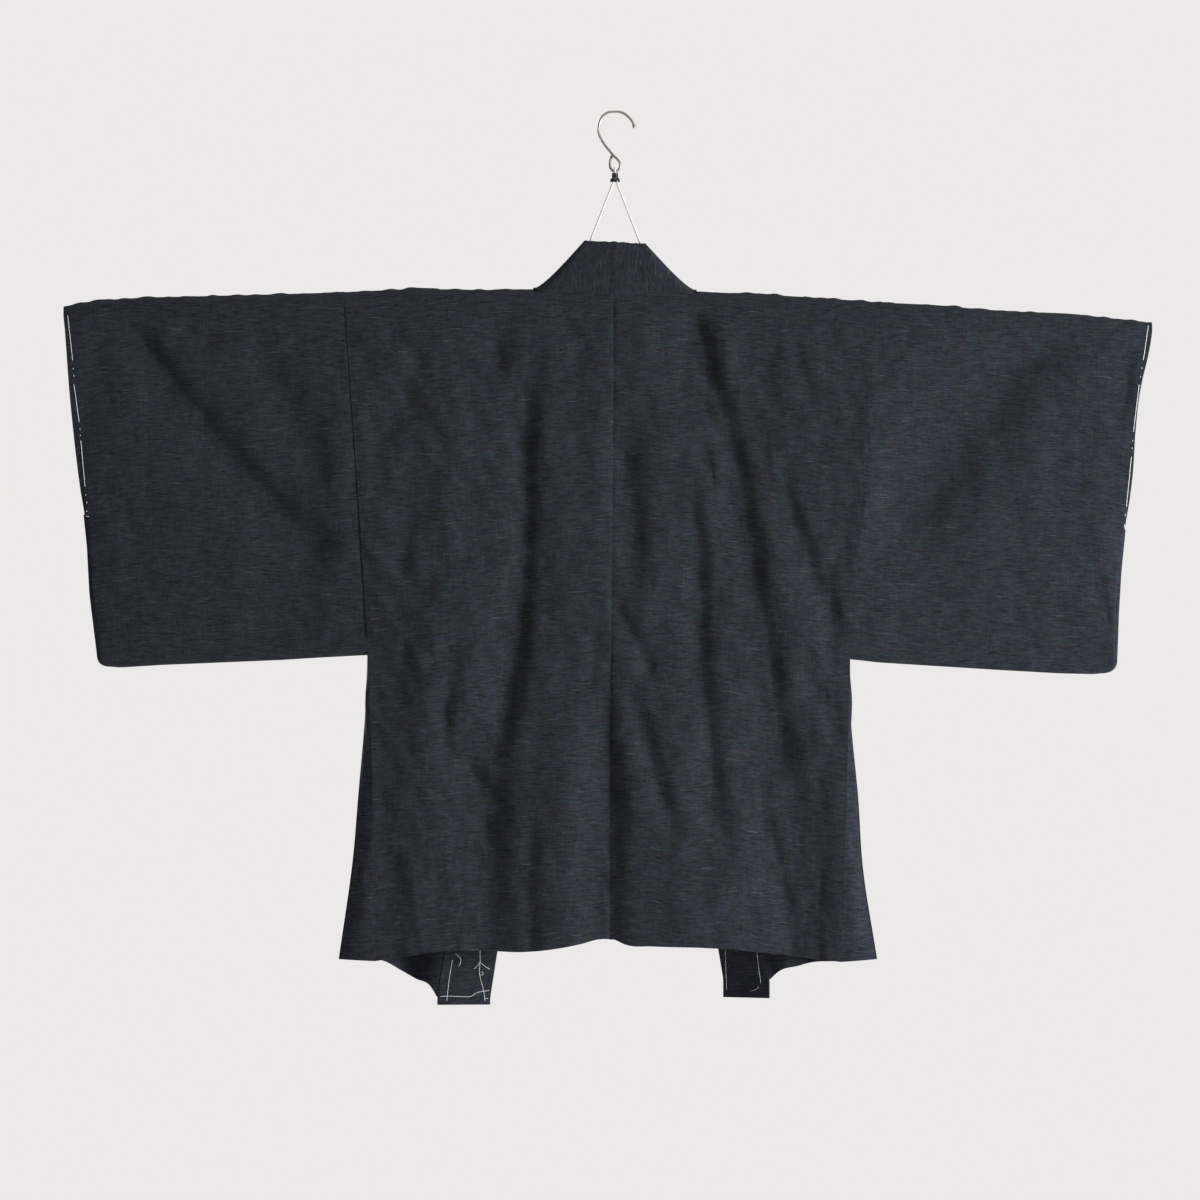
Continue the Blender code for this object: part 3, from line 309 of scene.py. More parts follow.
RIGHT_SLEEVE_FOLDS = (
    Fold(
        10.0, 58, 31, 1.5, 0.08, 0.25,
        ((-572, -239), (-552, -272), (-528, -299), (-503, -323), (-482, -348), (-467, -376),
         (-445, -406), (-421, -439), (-391, -476), (-359, -516), (-338, -572)),
    ),
    Fold(2.0, 16, 8, 1.0, 0.3, 0.3, ((-374, -239), (-359, -260), (-344, -284))),
    Fold(
        2.8, 14, 7, 1.0, 0.3, 0.3,
        ((-272, -239), (-276, -278), (-292, -305), (-313, -336), (-335, -354)),
    ),
    Fold(2.2, 14, 8, 1.0, 0.3, 0.3, ((-618, -260), (-623, -302), (-618, -344), (-608, -383))),
    Fold(2.2, 14, 8, 1.0, 0.4, 0.2, ((-575, -527), (-589, -570), (-599, -623))),
    Fold(2.0, 16, 8, 1.0, 0.3, 0.3, ((-294, -584), (-304, -620), (-318, -644))),
)

LEFT = Side(
    name="left",
    sign=1,
    droop=1.3,
    rod_end=601,
    tip_drop=7.6,
    underarm=Point(297, -641),
    shoulder=(
        Point(98, -211), Point(138, -211.5), Point(210, -210.5), Point(258, -211),
        Point(326, -214), Point(402, -216.5), Point(498, -219), Point(594, -222.5),
        Point(642, -228), Point(662, -232),
    ),
    back_hem=(
        Point(0, -992), Point(18, -991.5), Point(40, -997), Point(65, -1002),
        Point(113, -1007), Point(145, -1006), Point(206, -1006), Point(258, -1013.5),
        Point(288, -1018),
    ),
    front_hem=(
        Point(214, -1063), Point(222, -1050), Point(240, -1041), Point(258, -1031),
        Point(276, -1020), Point(332, -1016),
    ),
    body_side=(Point(326, -216), Point(310, -440), Point(297, -641)),
    gusset_back=(Point(297, -641), Point(292, -768), Point(288, -1018)),
    gusset_front=(
        Point(297, -641), Point(300, -716), Point(309, -824), Point(314, -885),
        Point(332, -1016),
    ),
    collar_seam=(
        Point(98, -221), Point(114, -400), Point(149, -650), Point(181, -850),
        Point(214, -1064),
    ),
    collar_foot=-1072,
    band_twist=7,
    front_wave=Wave(1.5, 1.7, 1, 0.5),
    collar_corner=Point(36, -153),
    sleeve_bottom=(
        Point(297, -650), Point(354, -653), Point(402, -656), Point(546, -662),
        Point(594, -665), Point(606, -664),
    ),
    sleeve_edge=(Point(622, -650), Point(631, -577), Point(634, -520), Point(638, -482)),
    cuff=(
        Point(663, -232), Point(660, -272), Point(654.5, -344), Point(644, -440),
        Point(638.5, -482),
    ),
)
RIGHT = Side(
    name="right",
    sign=-1,
    droop=3.4,
    rod_end=556,
    tip_drop=3.3,
    underarm=Point(-282, -646),
    shoulder=(
        Point(-98, -213.5), Point(-150, -215.5), Point(-198, -218), Point(-246, -221),
        Point(-322, -226.5), Point(-390, -230), Point(-438, -234.5), Point(-486, -237.5),
        Point(-558, -241), Point(-582, -244), Point(-630, -250), Point(-644, -251),
    ),
    back_hem=(
        Point(0, -992), Point(-10, -997), Point(-47, -1000), Point(-110, -1002),
        Point(-162, -1006), Point(-187, -1009), Point(-227, -1014), Point(-271, -1019),
    ),
    front_hem=(
        Point(-186, -1042), Point(-198, -1031), Point(-222, -1025), Point(-246, -1020),
        Point(-270, -1018), Point(-315, -1016),
    ),
    body_side=(Point(-322, -229), Point(-300, -440), Point(-282, -646)),
    gusset_back=(Point(-282, -646), Point(-279, -768), Point(-271, -1019)),
    gusset_front=(
        Point(-282, -646), Point(-283, -716), Point(-293, -830), Point(-297, -896),
        Point(-315, -1016),
    ),
    collar_seam=(
        Point(-98, -226), Point(-108, -400), Point(-134, -650), Point(-158, -850),
        Point(-186, -1042),
    ),
    collar_foot=-1064,
    band_twist=32,
    front_wave=Wave(2, 1, -1, 0),
    collar_corner=Point(-36, -156.5),
    sleeve_bottom=(
        Point(-282, -655), Point(-318, -659), Point(-366, -662), Point(-462, -668),
        Point(-534, -672), Point(-576, -673), Point(-584, -672),
    ),
    sleeve_edge=(Point(-603, -656), Point(-605, -600), Point(-608, -550), Point(-613, -500)),
    cuff=(
        Point(-646, -251), Point(-643, -278), Point(-639, -298), Point(-632.5, -325),
        Point(-629, -346), Point(-625.5, -380), Point(-622, -434), Point(-613.5, -500),
    ),
)
SIDES = (LEFT, RIGHT)

# How far the cloth stands from the mid-plane, by height, away from its side edges
BACK_DEPTH = (
    Depth(-222, 10), Depth(-450, 13), Depth(-650, 17), Depth(-850, 21), Depth(-1015, 24),
)
FRONT_DEPTH = (
    Depth(-222, 10), Depth(-450, 15), Depth(-650, 21), Depth(-850, 26), Depth(-1060, 29),
)
# Half of the gap at the side seams below the underarm
BACK_SIDE_DEPTH = (Depth(-641, 9), Depth(-768, 9), Depth(-1018, 10))
FRONT_SIDE_DEPTH = (Depth(-641, 9), Depth(-768, 6), Depth(-1018, 3))
STEEPEST = 0.707  # a trough's steepest line, in its widths from its bottom
SIDE_BLEND = 90.0  # how far from its side seam the cloth reaches its full distance
FRONT_CLEAR = 4.0  # how roundly a front's ridge turns back before it meets the back
FRONT_FADE = 0.24  # the share of a front's width at each edge over which its waves come in
FRONT_FOLD_DEPTH = (
    Depth(-222, 0), Depth(-330, 2), Depth(-500, 13), Depth(-700, 19), Depth(-1060, 21),
)
CENTRE_SEAM = (
    Point(2.0, -213), Point(2.6, -440), Point(3.8, -560), Point(5.6, -680), Point(6.6, -992),
)

# The back layer's cuff edge stands back from the front layer's by this much
CUFF_STEP = 0.4
CUFF_RUN = 70.0  # and comes level with it this far in

# Basting stitches on the face of each cuff, each a run of (x, z)
LEFT_CUFF_STITCHES = (
    ((657.1, -242.4), (651.1, -297.0)),
    ((650.5, -305.3), (650.3, -308.0)),
    ((649.8, -313.8), (649.6, -316.5)),
    ((649.6, -325.0), (643.3, -370.8)),
    ((642.3, -377.8), (642.1, -380.5)),
    ((642.0, -385.4), (641.9, -388.0)),
    ((641.3, -392.4), (636.4, -448.3)),
    ((635.5, -456.8), (635.3, -459.6)),
    ((634.2, -466.0), (634.1, -468.8)),
    ((634.3, -476.2), (634.3, -479.0)),
    ((636.0, -483.6), (631.2, -484.2)),
)
RIGHT_CUFF_STITCHES = (
    ((-640.3, -254.4), (-634.1, -297.0)),
    ((-632.6, -304.6), (-632.2, -307.4)),
    ((-631.0, -314.7), (-630.6, -317.5)),
    ((-629.2, -325.2), (-622.2, -382.8)),
    ((-621.7, -391.7), (-621.5, -394.5)),
    ((-621.0, -400.6), (-620.8, -403.4)),
    ((-619.9, -412.2), (-614.0, -472.8)),
    ((-612.8, -481.0), (-612.6, -483.8)),
    ((-611.9, -493.4), (-611.7, -497.8)),
)
# Threads left on the inner face of each collar foot
LEFT_FOOT_THREADS = (
    ((195.6, -1017.0), (199.4, -1040.0), (202.8, -1068.0)),
    ((162.5, -1004.4), (162.5, -1020.0), (163.2, -1034.4), (158.4, -1054.8), (156.6, -1068.0)),
    ((162.5, -1020.0), (157.0, -1025.5), (150.0, -1029.5)),
    ((162.5, -1020.0), (166.0, -1025.4), (170.4, -1029.1)),
    ((162.6, -1032.4), (159.2, -1033.2), (159.4, -1036.2), (162.4, -1035.8)),
    (
        (211.2, -1062.0), (200.4, -1061.5), (187.2, -1062.0), (174.0, -1062.0),
        (165.6, -1057.2), (151.2, -1054.8),
    ),
    ((157.2, -1064.4), (152.4, -1064.4)),
    ((192.5, -1010.0), (186.0, -1016.4), (186.4, -1022.0), (188.9, -1026.7)),
)
RIGHT_FOOT_THREADS = (
    ((-133.2, -1005.6), (-133.8, -1030.0), (-135.0, -1056.0)),
    ((-170.8, -1006.8), (-173.2, -1028.0), (-176.0, -1047.0)),
    ((-162.0, -1056.0), (-168.4, -1054.4), (-174.0, -1050.0)),
)
# Ends of the thread that holds the hem's turn-up, on the face of the back
HEM_THREADS = (
    ((-126.0, -926.5), (-130.5, -928.0)),
    ((-139.0, -929.5), (-145.0, -929.0)),
    ((-152.0, -930.5), (-156.0, -927.5)),
    ((-163.0, -930.0), (-170.0, -931.5)),
    ((-178.0, -931.0), (-181.0, -928.0)),
)
# The lines of stitches through the back that hold the turn-up
HEM_LINES = (
    ((-8, -932), (-110, -931), (-204, -932)),
    ((-214, -905), (-250, -905), (-284, -904)),
    ((20, -931), (110, -934), (282, -938)),
)


# Curves and folds


def smoothstep(t):
    t = np.clip(t, 0.0, 1.0)
    return t * t * (3 - 2 * t)


def read(table, at, key, value):
    """A value read at `at` from a smooth line through a table's rows."""
    rows = sorted(table, key=lambda row: getattr(row, key))
    knots = np.array([getattr(row, key) for row in rows], float)
    values = np.array([getattr(row, value) for row in rows], float)
    if len(rows) > 2:
        slopes = np.gradient(values, knots)
    else:
        slopes = np.full(2, np.diff(values) / np.diff(knots))
    at = np.clip(at, knots[0], knots[-1])
    i = np.clip(np.searchsorted(knots, at, side="right") - 1, 0, len(rows) - 2)
    span = knots[i + 1] - knots[i]
    t = (at - knots[i]) / span
    rise = values[i + 1] - values[i]
    low, high = slopes[i] * span, slopes[i + 1] * span
    bend, turn = 3 * rise - 2 * low - high, low + high - 2 * rise
    return values[i] + t * low + t * t * bend + t**3 * turn


def x_at(table, z):
    return read(table, z, "z", "x")


def z_at(table, x):
    return read(table, x, "x", "z")


def y_at(table, z):
    return read(table, z, "z", "y")


def rod_z(side, x):
    """Height of the arm's axis and, past its tip, of the bend of the cloth."""
    beyond = np.maximum(np.abs(x) - side.rod_end, 0) / (abs(side.cuff[0].x) - side.rod_end)
    return ROD_TOP_CENTRE - np.abs(x) * tan(radians(side.droop)) - side.tip_drop * beyond**2


def trough(x, z, fold):
    """How deep a fold is at each point, 0 or less."""
    path = np.array(fold.path, float)
    course = np.gradient(path, axis=0)
    course /= np.hypot(course[:, 0], course[:, 1])[:, None]
    reach = STEEPEST * fold.wide_right * np.linspace(1, fold.grow, len(path))[:, None]
    path += reach * np.stack([-course[:, 1], course[:, 0]], axis=-1)
    starts, steps = path[:-1], np.diff(path, axis=0)
    lengths = np.hypot(steps[:, 0], steps[:, 1])
    points = np.stack([x, z], axis=-1)[..., None, :] - starts
    share = np.clip((points * steps).sum(-1) / lengths**2, 0, 1)
    away = points - share[..., None] * steps
    distance = np.hypot(away[..., 0], away[..., 1])
    nearest = distance.argmin(-1)[..., None]
    distance = np.take_along_axis(distance, nearest, -1)[..., 0]
    share = np.take_along_axis(share, nearest, -1)[..., 0]
    sideways = np.take_along_axis(away[..., 0], nearest, -1)[..., 0]
    nearest = nearest[..., 0]
    run = np.concatenate([[0], np.cumsum(lengths)])
    along = (run[nearest] + share * lengths[nearest]) / run[-1]
    leaning = smoothstep(0.5 + sideways / SIDE_CHANGE)
    width = fold.wide_right + (fold.wide_left - fold.wide_right) * leaning
    width = width * (1 + (fold.grow - 1) * along)
    fade = np.ones_like(along)
    if fold.fade_in:
        fade = fade * smoothstep(along / fold.fade_in)
    if fold.fade_out:
        fade = fade * smoothstep((1 - along) / fold.fade_out)
    return -fold.depth * fade * np.exp(-((distance / width) ** 2))


def troughs(x, z, folds):
    return sum(trough(x, z, fold) for fold in folds)


def ripples(x, z, seed, across, along):
    """A field of soft ripples of unit height, its wavelengths in millimetres."""
    random = np.random.default_rng(seed)
    field = np.zeros(np.broadcast(x, z).shape)
    for _ in range(RIPPLE_COUNT):
        turn_x = random.normal() * 2 * pi / across
        turn_z = random.normal() * 2 * pi / along
        field += np.sin(turn_x * x + turn_z * z + random.uniform(0, 2 * pi))
    return field * np.sqrt(2 / RIPPLE_COUNT)


def wear(x, z, seed):
    """The small rumples of cloth that has been folded away."""
    return sum(
        rumple.height * ripples(x, z, seed + count, rumple.across, rumple.along)
        for count, rumple in enumerate(RUMPLES)
    )


def sunk(distance, depth, width):
    """How far cloth sinks beside a pressed seam."""
    return -depth * np.exp(-((distance / width) ** 2))


def over_rod(side, x, turn, lift=0.0):
    """A point of the cloth over the rod: turn 0 is level with it at the back, pi in front."""
    axis = rod_z(side, x)
    rise = np.maximum(z_at(side.shoulder, x) - WALL / 2 - axis, CLOTH_RADIUS)
    y = (CLOTH_RADIUS + lift) * np.cos(turn)
    z = axis + (rise + lift) * np.sin(turn)
    return np.stack(np.broadcast_arrays(x, y, z), axis=-1)


def shoulder_bumps(x, turns, height, lowest, fade):
    """The slight unevenness of the fold over the rod, as heights."""
    bumps = height * ripples(x, 0 * x, 5, 34, 60) * fade
    return np.maximum(bumps, lowest) * np.sin(turns)[:, None] ** 2


def neck_z(x):
    """The height of the seam behind the neck, which sags in its middle."""
    return NECK_SEAM_Z - NECK_SAG * (1 - (x / NECK_X) ** 2)


def half_gap(share):
    """Half of the sleeve's depth at its body seam, from the rod (0) to the underarm (1)."""
    straight = CLOTH_RADIUS + (UNDERARM_HALF - CLOTH_RADIUS) * share
    return straight + SLEEVE_FULLNESS * np.sin(pi * share)


def spread(length, step, start=False, end=False):
    """Shares of a length, a step apart, closer together beside the ends that are seams."""
    first = np.array(EDGE_RUN if start else (0,), float)
    last = np.array(EDGE_RUN if end else (0,), float)
    count = max(1, round((length - first[-1] - last[-1]) / step))
    middle = np.linspace(first[-1], length - last[-1], count + 1)
    return np.concatenate([first[:-1], middle, (length - last[:-1])[::-1]]) / length


def body_rows(step):
    """Shares down the rod-to-underarm and underarm-to-hem parts, and down both together."""
    upper = spread(UPPER_LENGTH, step)
    lower = spread(LOWER_LENGTH, step, end=True)
    share = np.concatenate([upper * UPPER_SHARE, UPPER_SHARE + lower[1:] * (1 - UPPER_SHARE)])
    return Rows(upper, lower, share)


def heights(top, middle, bottom, rows):
    """Heights down each column: rod, underarm, hem."""
    above = middle + np.multiply.outer(1 - rows.upper, top - middle)
    below = bottom + np.multiply.outer(1 - rows.lower[1:], middle - bottom)
    return np.concatenate([above, below])


def side_edge(side, below, depth, hem_z, rows):
    """The points down a panel's side: x, y from the mid-plane, z."""
    z = heights(rod_z(side, side.body_side[0].x), side.underarm.z, hem_z, rows)
    x = np.where(z >= side.underarm.z, x_at(side.body_side, z), x_at(below, z))
    y = np.concatenate([half_gap(rows.upper), y_at(depth, z[len(rows.upper) :])])
    return x, y, z


def back_edge(side, rows):
    return side_edge(side, side.gusset_back, BACK_SIDE_DEPTH, side.gusset_back[-1].z, rows)


def front_edge(side, rows):
    return side_edge(side, side.gusset_front, FRONT_SIDE_DEPTH, side.front_hem[-1].z, rows)


def clear_of_seams(side, x, z):
    """1 on open cloth, fading to 0 at the rod and the underarm."""
    from_rod = smoothstep((rod_z(side, x) - z) / BELOW_ROD)
    underarm = np.hypot(x - side.underarm.x, z - side.underarm.z)
    return from_rod * smoothstep(underarm / ROUND_UNDERARM)


def free_of_edge(side, from_edge, z):
    """0 on an edge below the underarm, where a side piece is sewn to it, and 1 elsewhere."""
    free = np.where(z < side.underarm.z, smoothstep(from_edge / BESIDE_SEAM), 1.0)
    return np.maximum(free, smoothstep((z - side.underarm.z) / ABOVE_UNDERARM))


def back_layer(side, x, z):
    """The relief that the back of the body and of the sleeve share."""
    sleeve = smoothstep((np.abs(x) - SLEEVE_START) / SLEEVE_CHANGE)
    return wear(x, z, BACK_SEED) * clear_of_seams(side, x, z) * (1 - SLEEVE_LEVEL * sleeve)


def front_layer(side, x, z):
    return wear(x, z, FRONT_SEED) * clear_of_seams(side, x, z)


def back_grid(side, rows, inner_share, outer_share):
    """Rows from the rod's height to the hem, columns from the centre seam to the side."""
    outer, side_y, line_z = back_edge(side, rows)
    outer = outer - side.sign * JOIN / 2
    centre = x_at(CENTRE_SEAM, line_z) + side.sign * JOIN / 2
    neck_lean = NECK_COLUMN_FOOT - NECK_X - JOIN / 2
    neck = side.sign * (NECK_X + JOIN / 2 + neck_lean * rows.share)
    x = np.concatenate(
        [
            centre[:, None] + (neck - centre)[:, None] * inner_share[:-1],
            neck[:, None] + (outer - neck)[:, None] * outer_share,
        ],
        axis=1,
    )
    z = heights(rod_z(side, x[0]), side.underarm.z, z_at(side.back_hem, x[-1]), rows)
    from_side = np.abs(x - outer[:, None])
    inside = smoothstep(from_side / SIDE_BLEND)
    y = side_y[:, None] + (y_at(BACK_DEPTH, z) - side_y[:, None]) * inside
    from_rod = smoothstep((z[0] - z) / FOLDS_BELOW_ROD)
    y = y + troughs(x, z, BACK_FOLDS) * from_rod * smoothstep(from_side / FOLDS_BESIDE_SEAM)
    # Below the underarm the side edge lies on the side piece's, so its relief ends there
    y = y + back_layer(side, x, z) * free_of_edge(side, from_side, z)
    y = y + sunk(np.abs(x - centre[:, None]), *CENTRE_SINK[side.sign])
    # The armhole's seam draws in more and more towards the underarm
    down = (z[0] - z) / (z[0] - side.underarm.z)
    armhole = smoothstep(down / 0.04) * smoothstep((1 - down) / 0.05) * (0.4 + 0.6 * down)
    y = y + sunk(from_side, *ARMHOLE_SINK[side.sign]) * armhole
    return np.stack([x, y, z], axis=-1)


def front_grid(side, rows, share):
    """Rows from the rod's height to the hem, columns from the collar seam to the side."""
    outer, side_y, _ = front_edge(side, rows)
    outer = outer - side.sign * JOIN / 2
    collar_z = heights(rod_z(side, NECK_X), side.underarm.z, side.front_hem[0].z, rows)
    collar = x_at(side.collar_seam, collar_z) + side.sign * JOIN / 2
    x = collar[:, None] + (outer - collar)[:, None] * share
    z = heights(rod_z(side, x[0]), side.underarm.z, z_at(side.front_hem, x[-1]), rows)
    from_side = np.abs(x - outer[:, None])
    inside = smoothstep(from_side / SIDE_BLEND)
    y = side_y[:, None] + (y_at(FRONT_DEPTH, z) - side_y[:, None]) * inside
    wave = side.front_wave
    swell = wave.way * np.sin(2 * pi * wave.folds * share**wave.lead)
    swell = (swell + wave.short) / (1 + wave.short)
    ends = smoothstep(share / FRONT_FADE) * smoothstep((1 - share) / FRONT_FADE)
    y = y + y_at(FRONT_FOLD_DEPTH, z) * swell * ends
    # Each ridge is rounded off before it meets the back
    y = y + ((y + np.hypot(y, FRONT_CLEAR)) / 2 - y) * ends
    from_collar = smoothstep(np.abs(x - collar[:, None]) / FOLDS_BESIDE_SEAM)
    y = y + front_layer(side, x, z) * free_of_edge(side, from_side, z) * from_collar
    return np.stack([x, -y, z], axis=-1)


def numbered(points):
    """Each point's number, in the grid's own rows and columns."""
    rows, columns = points.shape[:2]
    return np.arange(rows * columns).reshape(rows, columns)


def grid_faces(index, keep=None):
    """Quads between the rows of an index table, where keep says so."""
    quads = np.stack([index[:-1, :-1], index[:-1, 1:], index[1:, 1:], index[1:, :-1]], axis=-1)
    return quads.reshape(-1, 4) if keep is None else quads[keep]


def weave_map(points, start_row):
    """Across and along the cloth in metres, for a grid of points in millimetres."""
    steps = np.diff(points[..., 1:], axis=0, prepend=points[:1, :, 1:])
    along = np.cumsum(np.linalg.norm(steps, axis=2), axis=0)
    along = along - along[start_row]
    return np.stack([points[..., 0], along], axis=-1) * MM


def band_map(points):
    """The same for a band of sections: it starts at its middle section, and takes each
    lengthwise line's own length at first and the band's mean length in the end."""

    def run(axis, before):
        steps = np.diff(points, axis=axis, prepend=before)
        return np.cumsum(np.linalg.norm(steps, axis=2), axis=axis)

    across, along = run(1, points[:, :1]), run(0, points[:1])
    along = along - along[len(points) // 2]
    mean = along.mean(axis=1, keepdims=True)
    own = 1 - smoothstep((np.abs(mean) - BAND_SKEW) / (3 * BAND_SKEW))
    return np.stack([across, mean + (along - mean) * own], axis=-1) * MM


# Sewn pieces


def body_cloth(side, step):
    """Half of the body, in one length from the back hem over the shoulder to the front hem."""
    rows = body_rows(step)
    inner_share = spread(NECK_WIDTH, step, start=True)
    outer_share = spread(PANEL_WIDTH, step, start=True, end=True)
    back = back_grid(side, rows, inner_share, outer_share)
    front = front_grid(side, rows, outer_share)
    inner = len(inner_share) - 1
    columns = back.shape[1]
    turns = pi * np.arange(OVER_STEPS + 1) / OVER_STEPS
    over = np.zeros((OVER_STEPS + 1, columns, 3))
    shoulder_x = back[0, inner:, 0]
    over[:, inner:] = over_rod(side, shoulder_x[None, :], turns[:, None])
    from_neck = smoothstep((np.abs(shoulder_x) - BUMPS_START_X) / 20)
    over[:, inner:, 2] += shoulder_bumps(shoulder_x, turns, 0.9, -0.5, from_neck)
    over[:, inner:, 1] *= 1 + 0.02 * np.sin(turns)[:, None]
    # Behind the neck the cloth only climbs to its seam with the collar
    neck_x, axis = back[0, :inner, 0], back[0, :inner, 2]
    turn_in = smoothstep((np.abs(neck_x) - NECK_TURN_X) / (NECK_X - NECK_TURN_X))
    climb = np.arange(NECK_STEPS + 1)[:, None] / NECK_STEPS
    neck, past_neck = over[: NECK_STEPS + 1], over[NECK_STEPS + 1 :]
    neck[:, :inner, 0] = neck_x
    neck[:, :inner, 1] = CLOTH_RADIUS + (neck[:, inner, 1:2] - CLOTH_RADIUS) * turn_in
    neck[:, :inner, 2] = axis + (neck_z(neck_x) - JOIN / 2 - axis) * climb
    past_neck[:, :inner] = past_neck[:, inner : inner + 1]
    down_front = np.concatenate([np.repeat(front[1:, :1], inner, axis=1), front[1:]], axis=1)
    over[0] = back[0]
    points = np.concatenate([back[:0:-1], over, down_front])
    last_neck_row = len(back) - 1 + NECK_STEPS
    keep = np.ones((len(points) - 1, columns - 1), bool)
    keep[last_neck_row:, :inner] = False
    faces = grid_faces(numbered(points), keep)
    weave = weave_map(points, len(back) - 1)
    return Cloth(points.reshape(-1, 3), faces, weave.reshape(-1, 2), faces)


def spaced(line, shares):
    """Points at shares of a polyline's length."""
    line = np.array(line, float)
    steps = np.hypot(*np.diff(line, axis=0).T)
    run = np.concatenate([[0], np.cumsum(steps)]) / steps.sum()
    return np.stack([np.interp(shares, run, line[:, axis]) for axis in (0, 1)], axis=-1)


def sewn_edge(side, share):
    """A sleeve's sewn edge: along its bottom, round its corner, up to the end of the cuff."""
    bottom = spaced(side.sleeve_bottom, share / BOTTOM_SHARE)
    rise = spaced(side.sleeve_edge, (share - CORNER_SHARE) / (1 - CORNER_SHARE))
    foot = np.array(side.sleeve_bottom[-1], float)
    head = np.array(side.sleeve_edge[0], float)
    corner = np.array([head[0], foot[1]])
    t = np.clip((share - BOTTOM_SHARE) / (CORNER_SHARE - BOTTOM_SHARE), 0, 1)[:, None]
    turn = (1 - t) ** 2 * foot + 2 * t * (1 - t) * corner + t**2 * head
    share = share[:, None]
    beyond = np.where(share >= CORNER_SHARE, rise, turn)
    return np.where(share <= BOTTOM_SHARE, bottom, beyond)


def sleeve_layer(side, across, rows):
    """The x and z of a sleeve layer, rod to sewn edge by body seam to cuff, the direction
    into the sleeve from its sewn edge, and the radius of the fold there."""
    sewn = sewn_edge(side, across)
    ahead = sewn_edge(side, np.minimum(across + EDGE_REACH, 1))
    along = ahead - sewn_edge(side, np.maximum(across - EDGE_REACH, 0))
    along /= np.hypot(*along.T)[:, None]
    inward = np.stack([-along[:, 1], along[:, 0]], axis=-1) * side.sign
    start = (1 - smoothstep(across / LEVEL_SHARE))[:, None]
    inward = inward * (1 - start) + np.array([0.0, 1.0]) * start
    at_body = 1 - smoothstep(across / NARROW_SHARE)
    radius = SLEEVE_FOLD + (UNDERARM_HALF - SLEEVE_FOLD) * at_body
    sewn = sewn + inward * radius[:, None]
    inner_x, _, inner_z = back_edge(side, rows)
    inner = np.stack([inner_x, inner_z], axis=-1)[: len(rows.upper)]
    inner[:, 0] += side.sign * JOIN / 2
    sewn = sewn + (inner[-1] - sewn[0]) * start
    top_x = inner[0, 0] + (side.cuff[0].x - inner[0, 0]) * across
    top = np.stack([top_x, rod_z(side, top_x)], axis=-1)
    down = rows.upper
    cuff_z = top[-1, 1] + (sewn[-1, 1] - top[-1, 1]) * down
    # The cuff's last part leans over to meet the end of the sewn edge
    lean = (sewn[-1, 0] - side.cuff[-1].x) * down**14
    cuff = np.stack([x_at(side.cuff, cuff_z) + lean, cuff_z], axis=-1)
    # The layer is spanned between its four edges
    u, v = across[None, :, None], down[:, None, None]
    blend_down = (1 - v) * top[None] + v * sewn[None]
    blend_across = (1 - u) * inner[:, None] + u * cuff[:, None]
    inner_corners, cuff_corners = ((1 - v) * top[end] + v * sewn[end] for end in (0, -1))
    corners = (1 - u) * inner_corners + u * cuff_corners
    return blend_down + blend_across - corners, inward, radius


def sleeve_cloth(side, step):
    """A tube closed along its bottom and lower front edge, open at the body and at the cuff."""
    rows = body_rows(step)
    across = spread(SLEEVE_WIDTH, step * 0.9, start=True, end=True)
    layer, inward, radius = sleeve_layer(side, across, rows)
    x, z = layer[..., 0], layer[..., 1]
    down = rows.upper[:, None]
    folds = LEFT_SLEEVE_FOLDS if side.sign > 0 else RIGHT_SLEEVE_FOLDS
    gap = CLOTH_RADIUS + (radius - CLOTH_RADIUS) * down
    gap = gap + SLEEVE_FULLNESS * np.sin(pi * down)
    # Both layers sway together in the folds, and each has rumples of its own
    from_seam = np.abs(x - x[:, :1])
    free = smoothstep(from_seam / FOLDS_BESIDE_SLEEVE_SEAM)
    sway = troughs(x, z, folds) * free * smoothstep(down / 0.12)
    loose = smoothstep((1 - down) / 0.06)
    sinks = loose * smoothstep(down / 0.03) * (0.45 + 0.55 * down)
    seam_sink = sunk(from_seam, *SLEEVE_SINK[side.sign]) * sinks
    back_y = gap + sway + back_layer(side, x, z) * loose + seam_sink
    front_y = -gap + sway - front_layer(side, x, z) * loose - seam_sink
    near_cuff = smoothstep((np.abs(x) - np.abs(x[:, -1:]) + CUFF_RUN) / CUFF_RUN)
    step_back = CUFF_STEP * smoothstep(down / 0.08) * smoothstep((1 - down) / 0.1)
    back = np.stack([x - side.sign * near_cuff * step_back, back_y, z], axis=-1)
    front = np.stack([x, front_y, z], axis=-1)
    turns = pi * np.arange(1, OVER_STEPS) / OVER_STEPS
    over = over_rod(side, x[:1], turns[:, None])
    over[..., 2] += shoulder_bumps(x[:1], turns, 0.7, -0.4, smoothstep(from_seam[:1] / 8))
    # Round the sewn edge, from the front layer to the back
    folded = []
    for turn in pi * np.arange(1, EDGE_TURNS) / EDGE_TURNS:
        shift = -inward * (radius * sin(turn))[:, None]
        fold_y = -radius * cos(turn) + sway[-1]
        folded.append(np.stack([x[-1] + shift[:, 0], fold_y, z[-1] + shift[:, 1]], axis=-1))
    loop = np.concatenate([back[::-1], over, front, np.array(folded)])
    count, columns = loop.shape[:2]
    index = np.arange((count + 1) * columns).reshape(count + 1, columns)
    uv_faces = grid_faces(index)
    weave = weave_map(np.concatenate([loop, loop[:1]]), len(back) - 1)
    faces = uv_faces % (count * columns)
    return Cloth(loop.reshape(-1, 3), faces, weave.reshape(-1, 2), uv_faces)


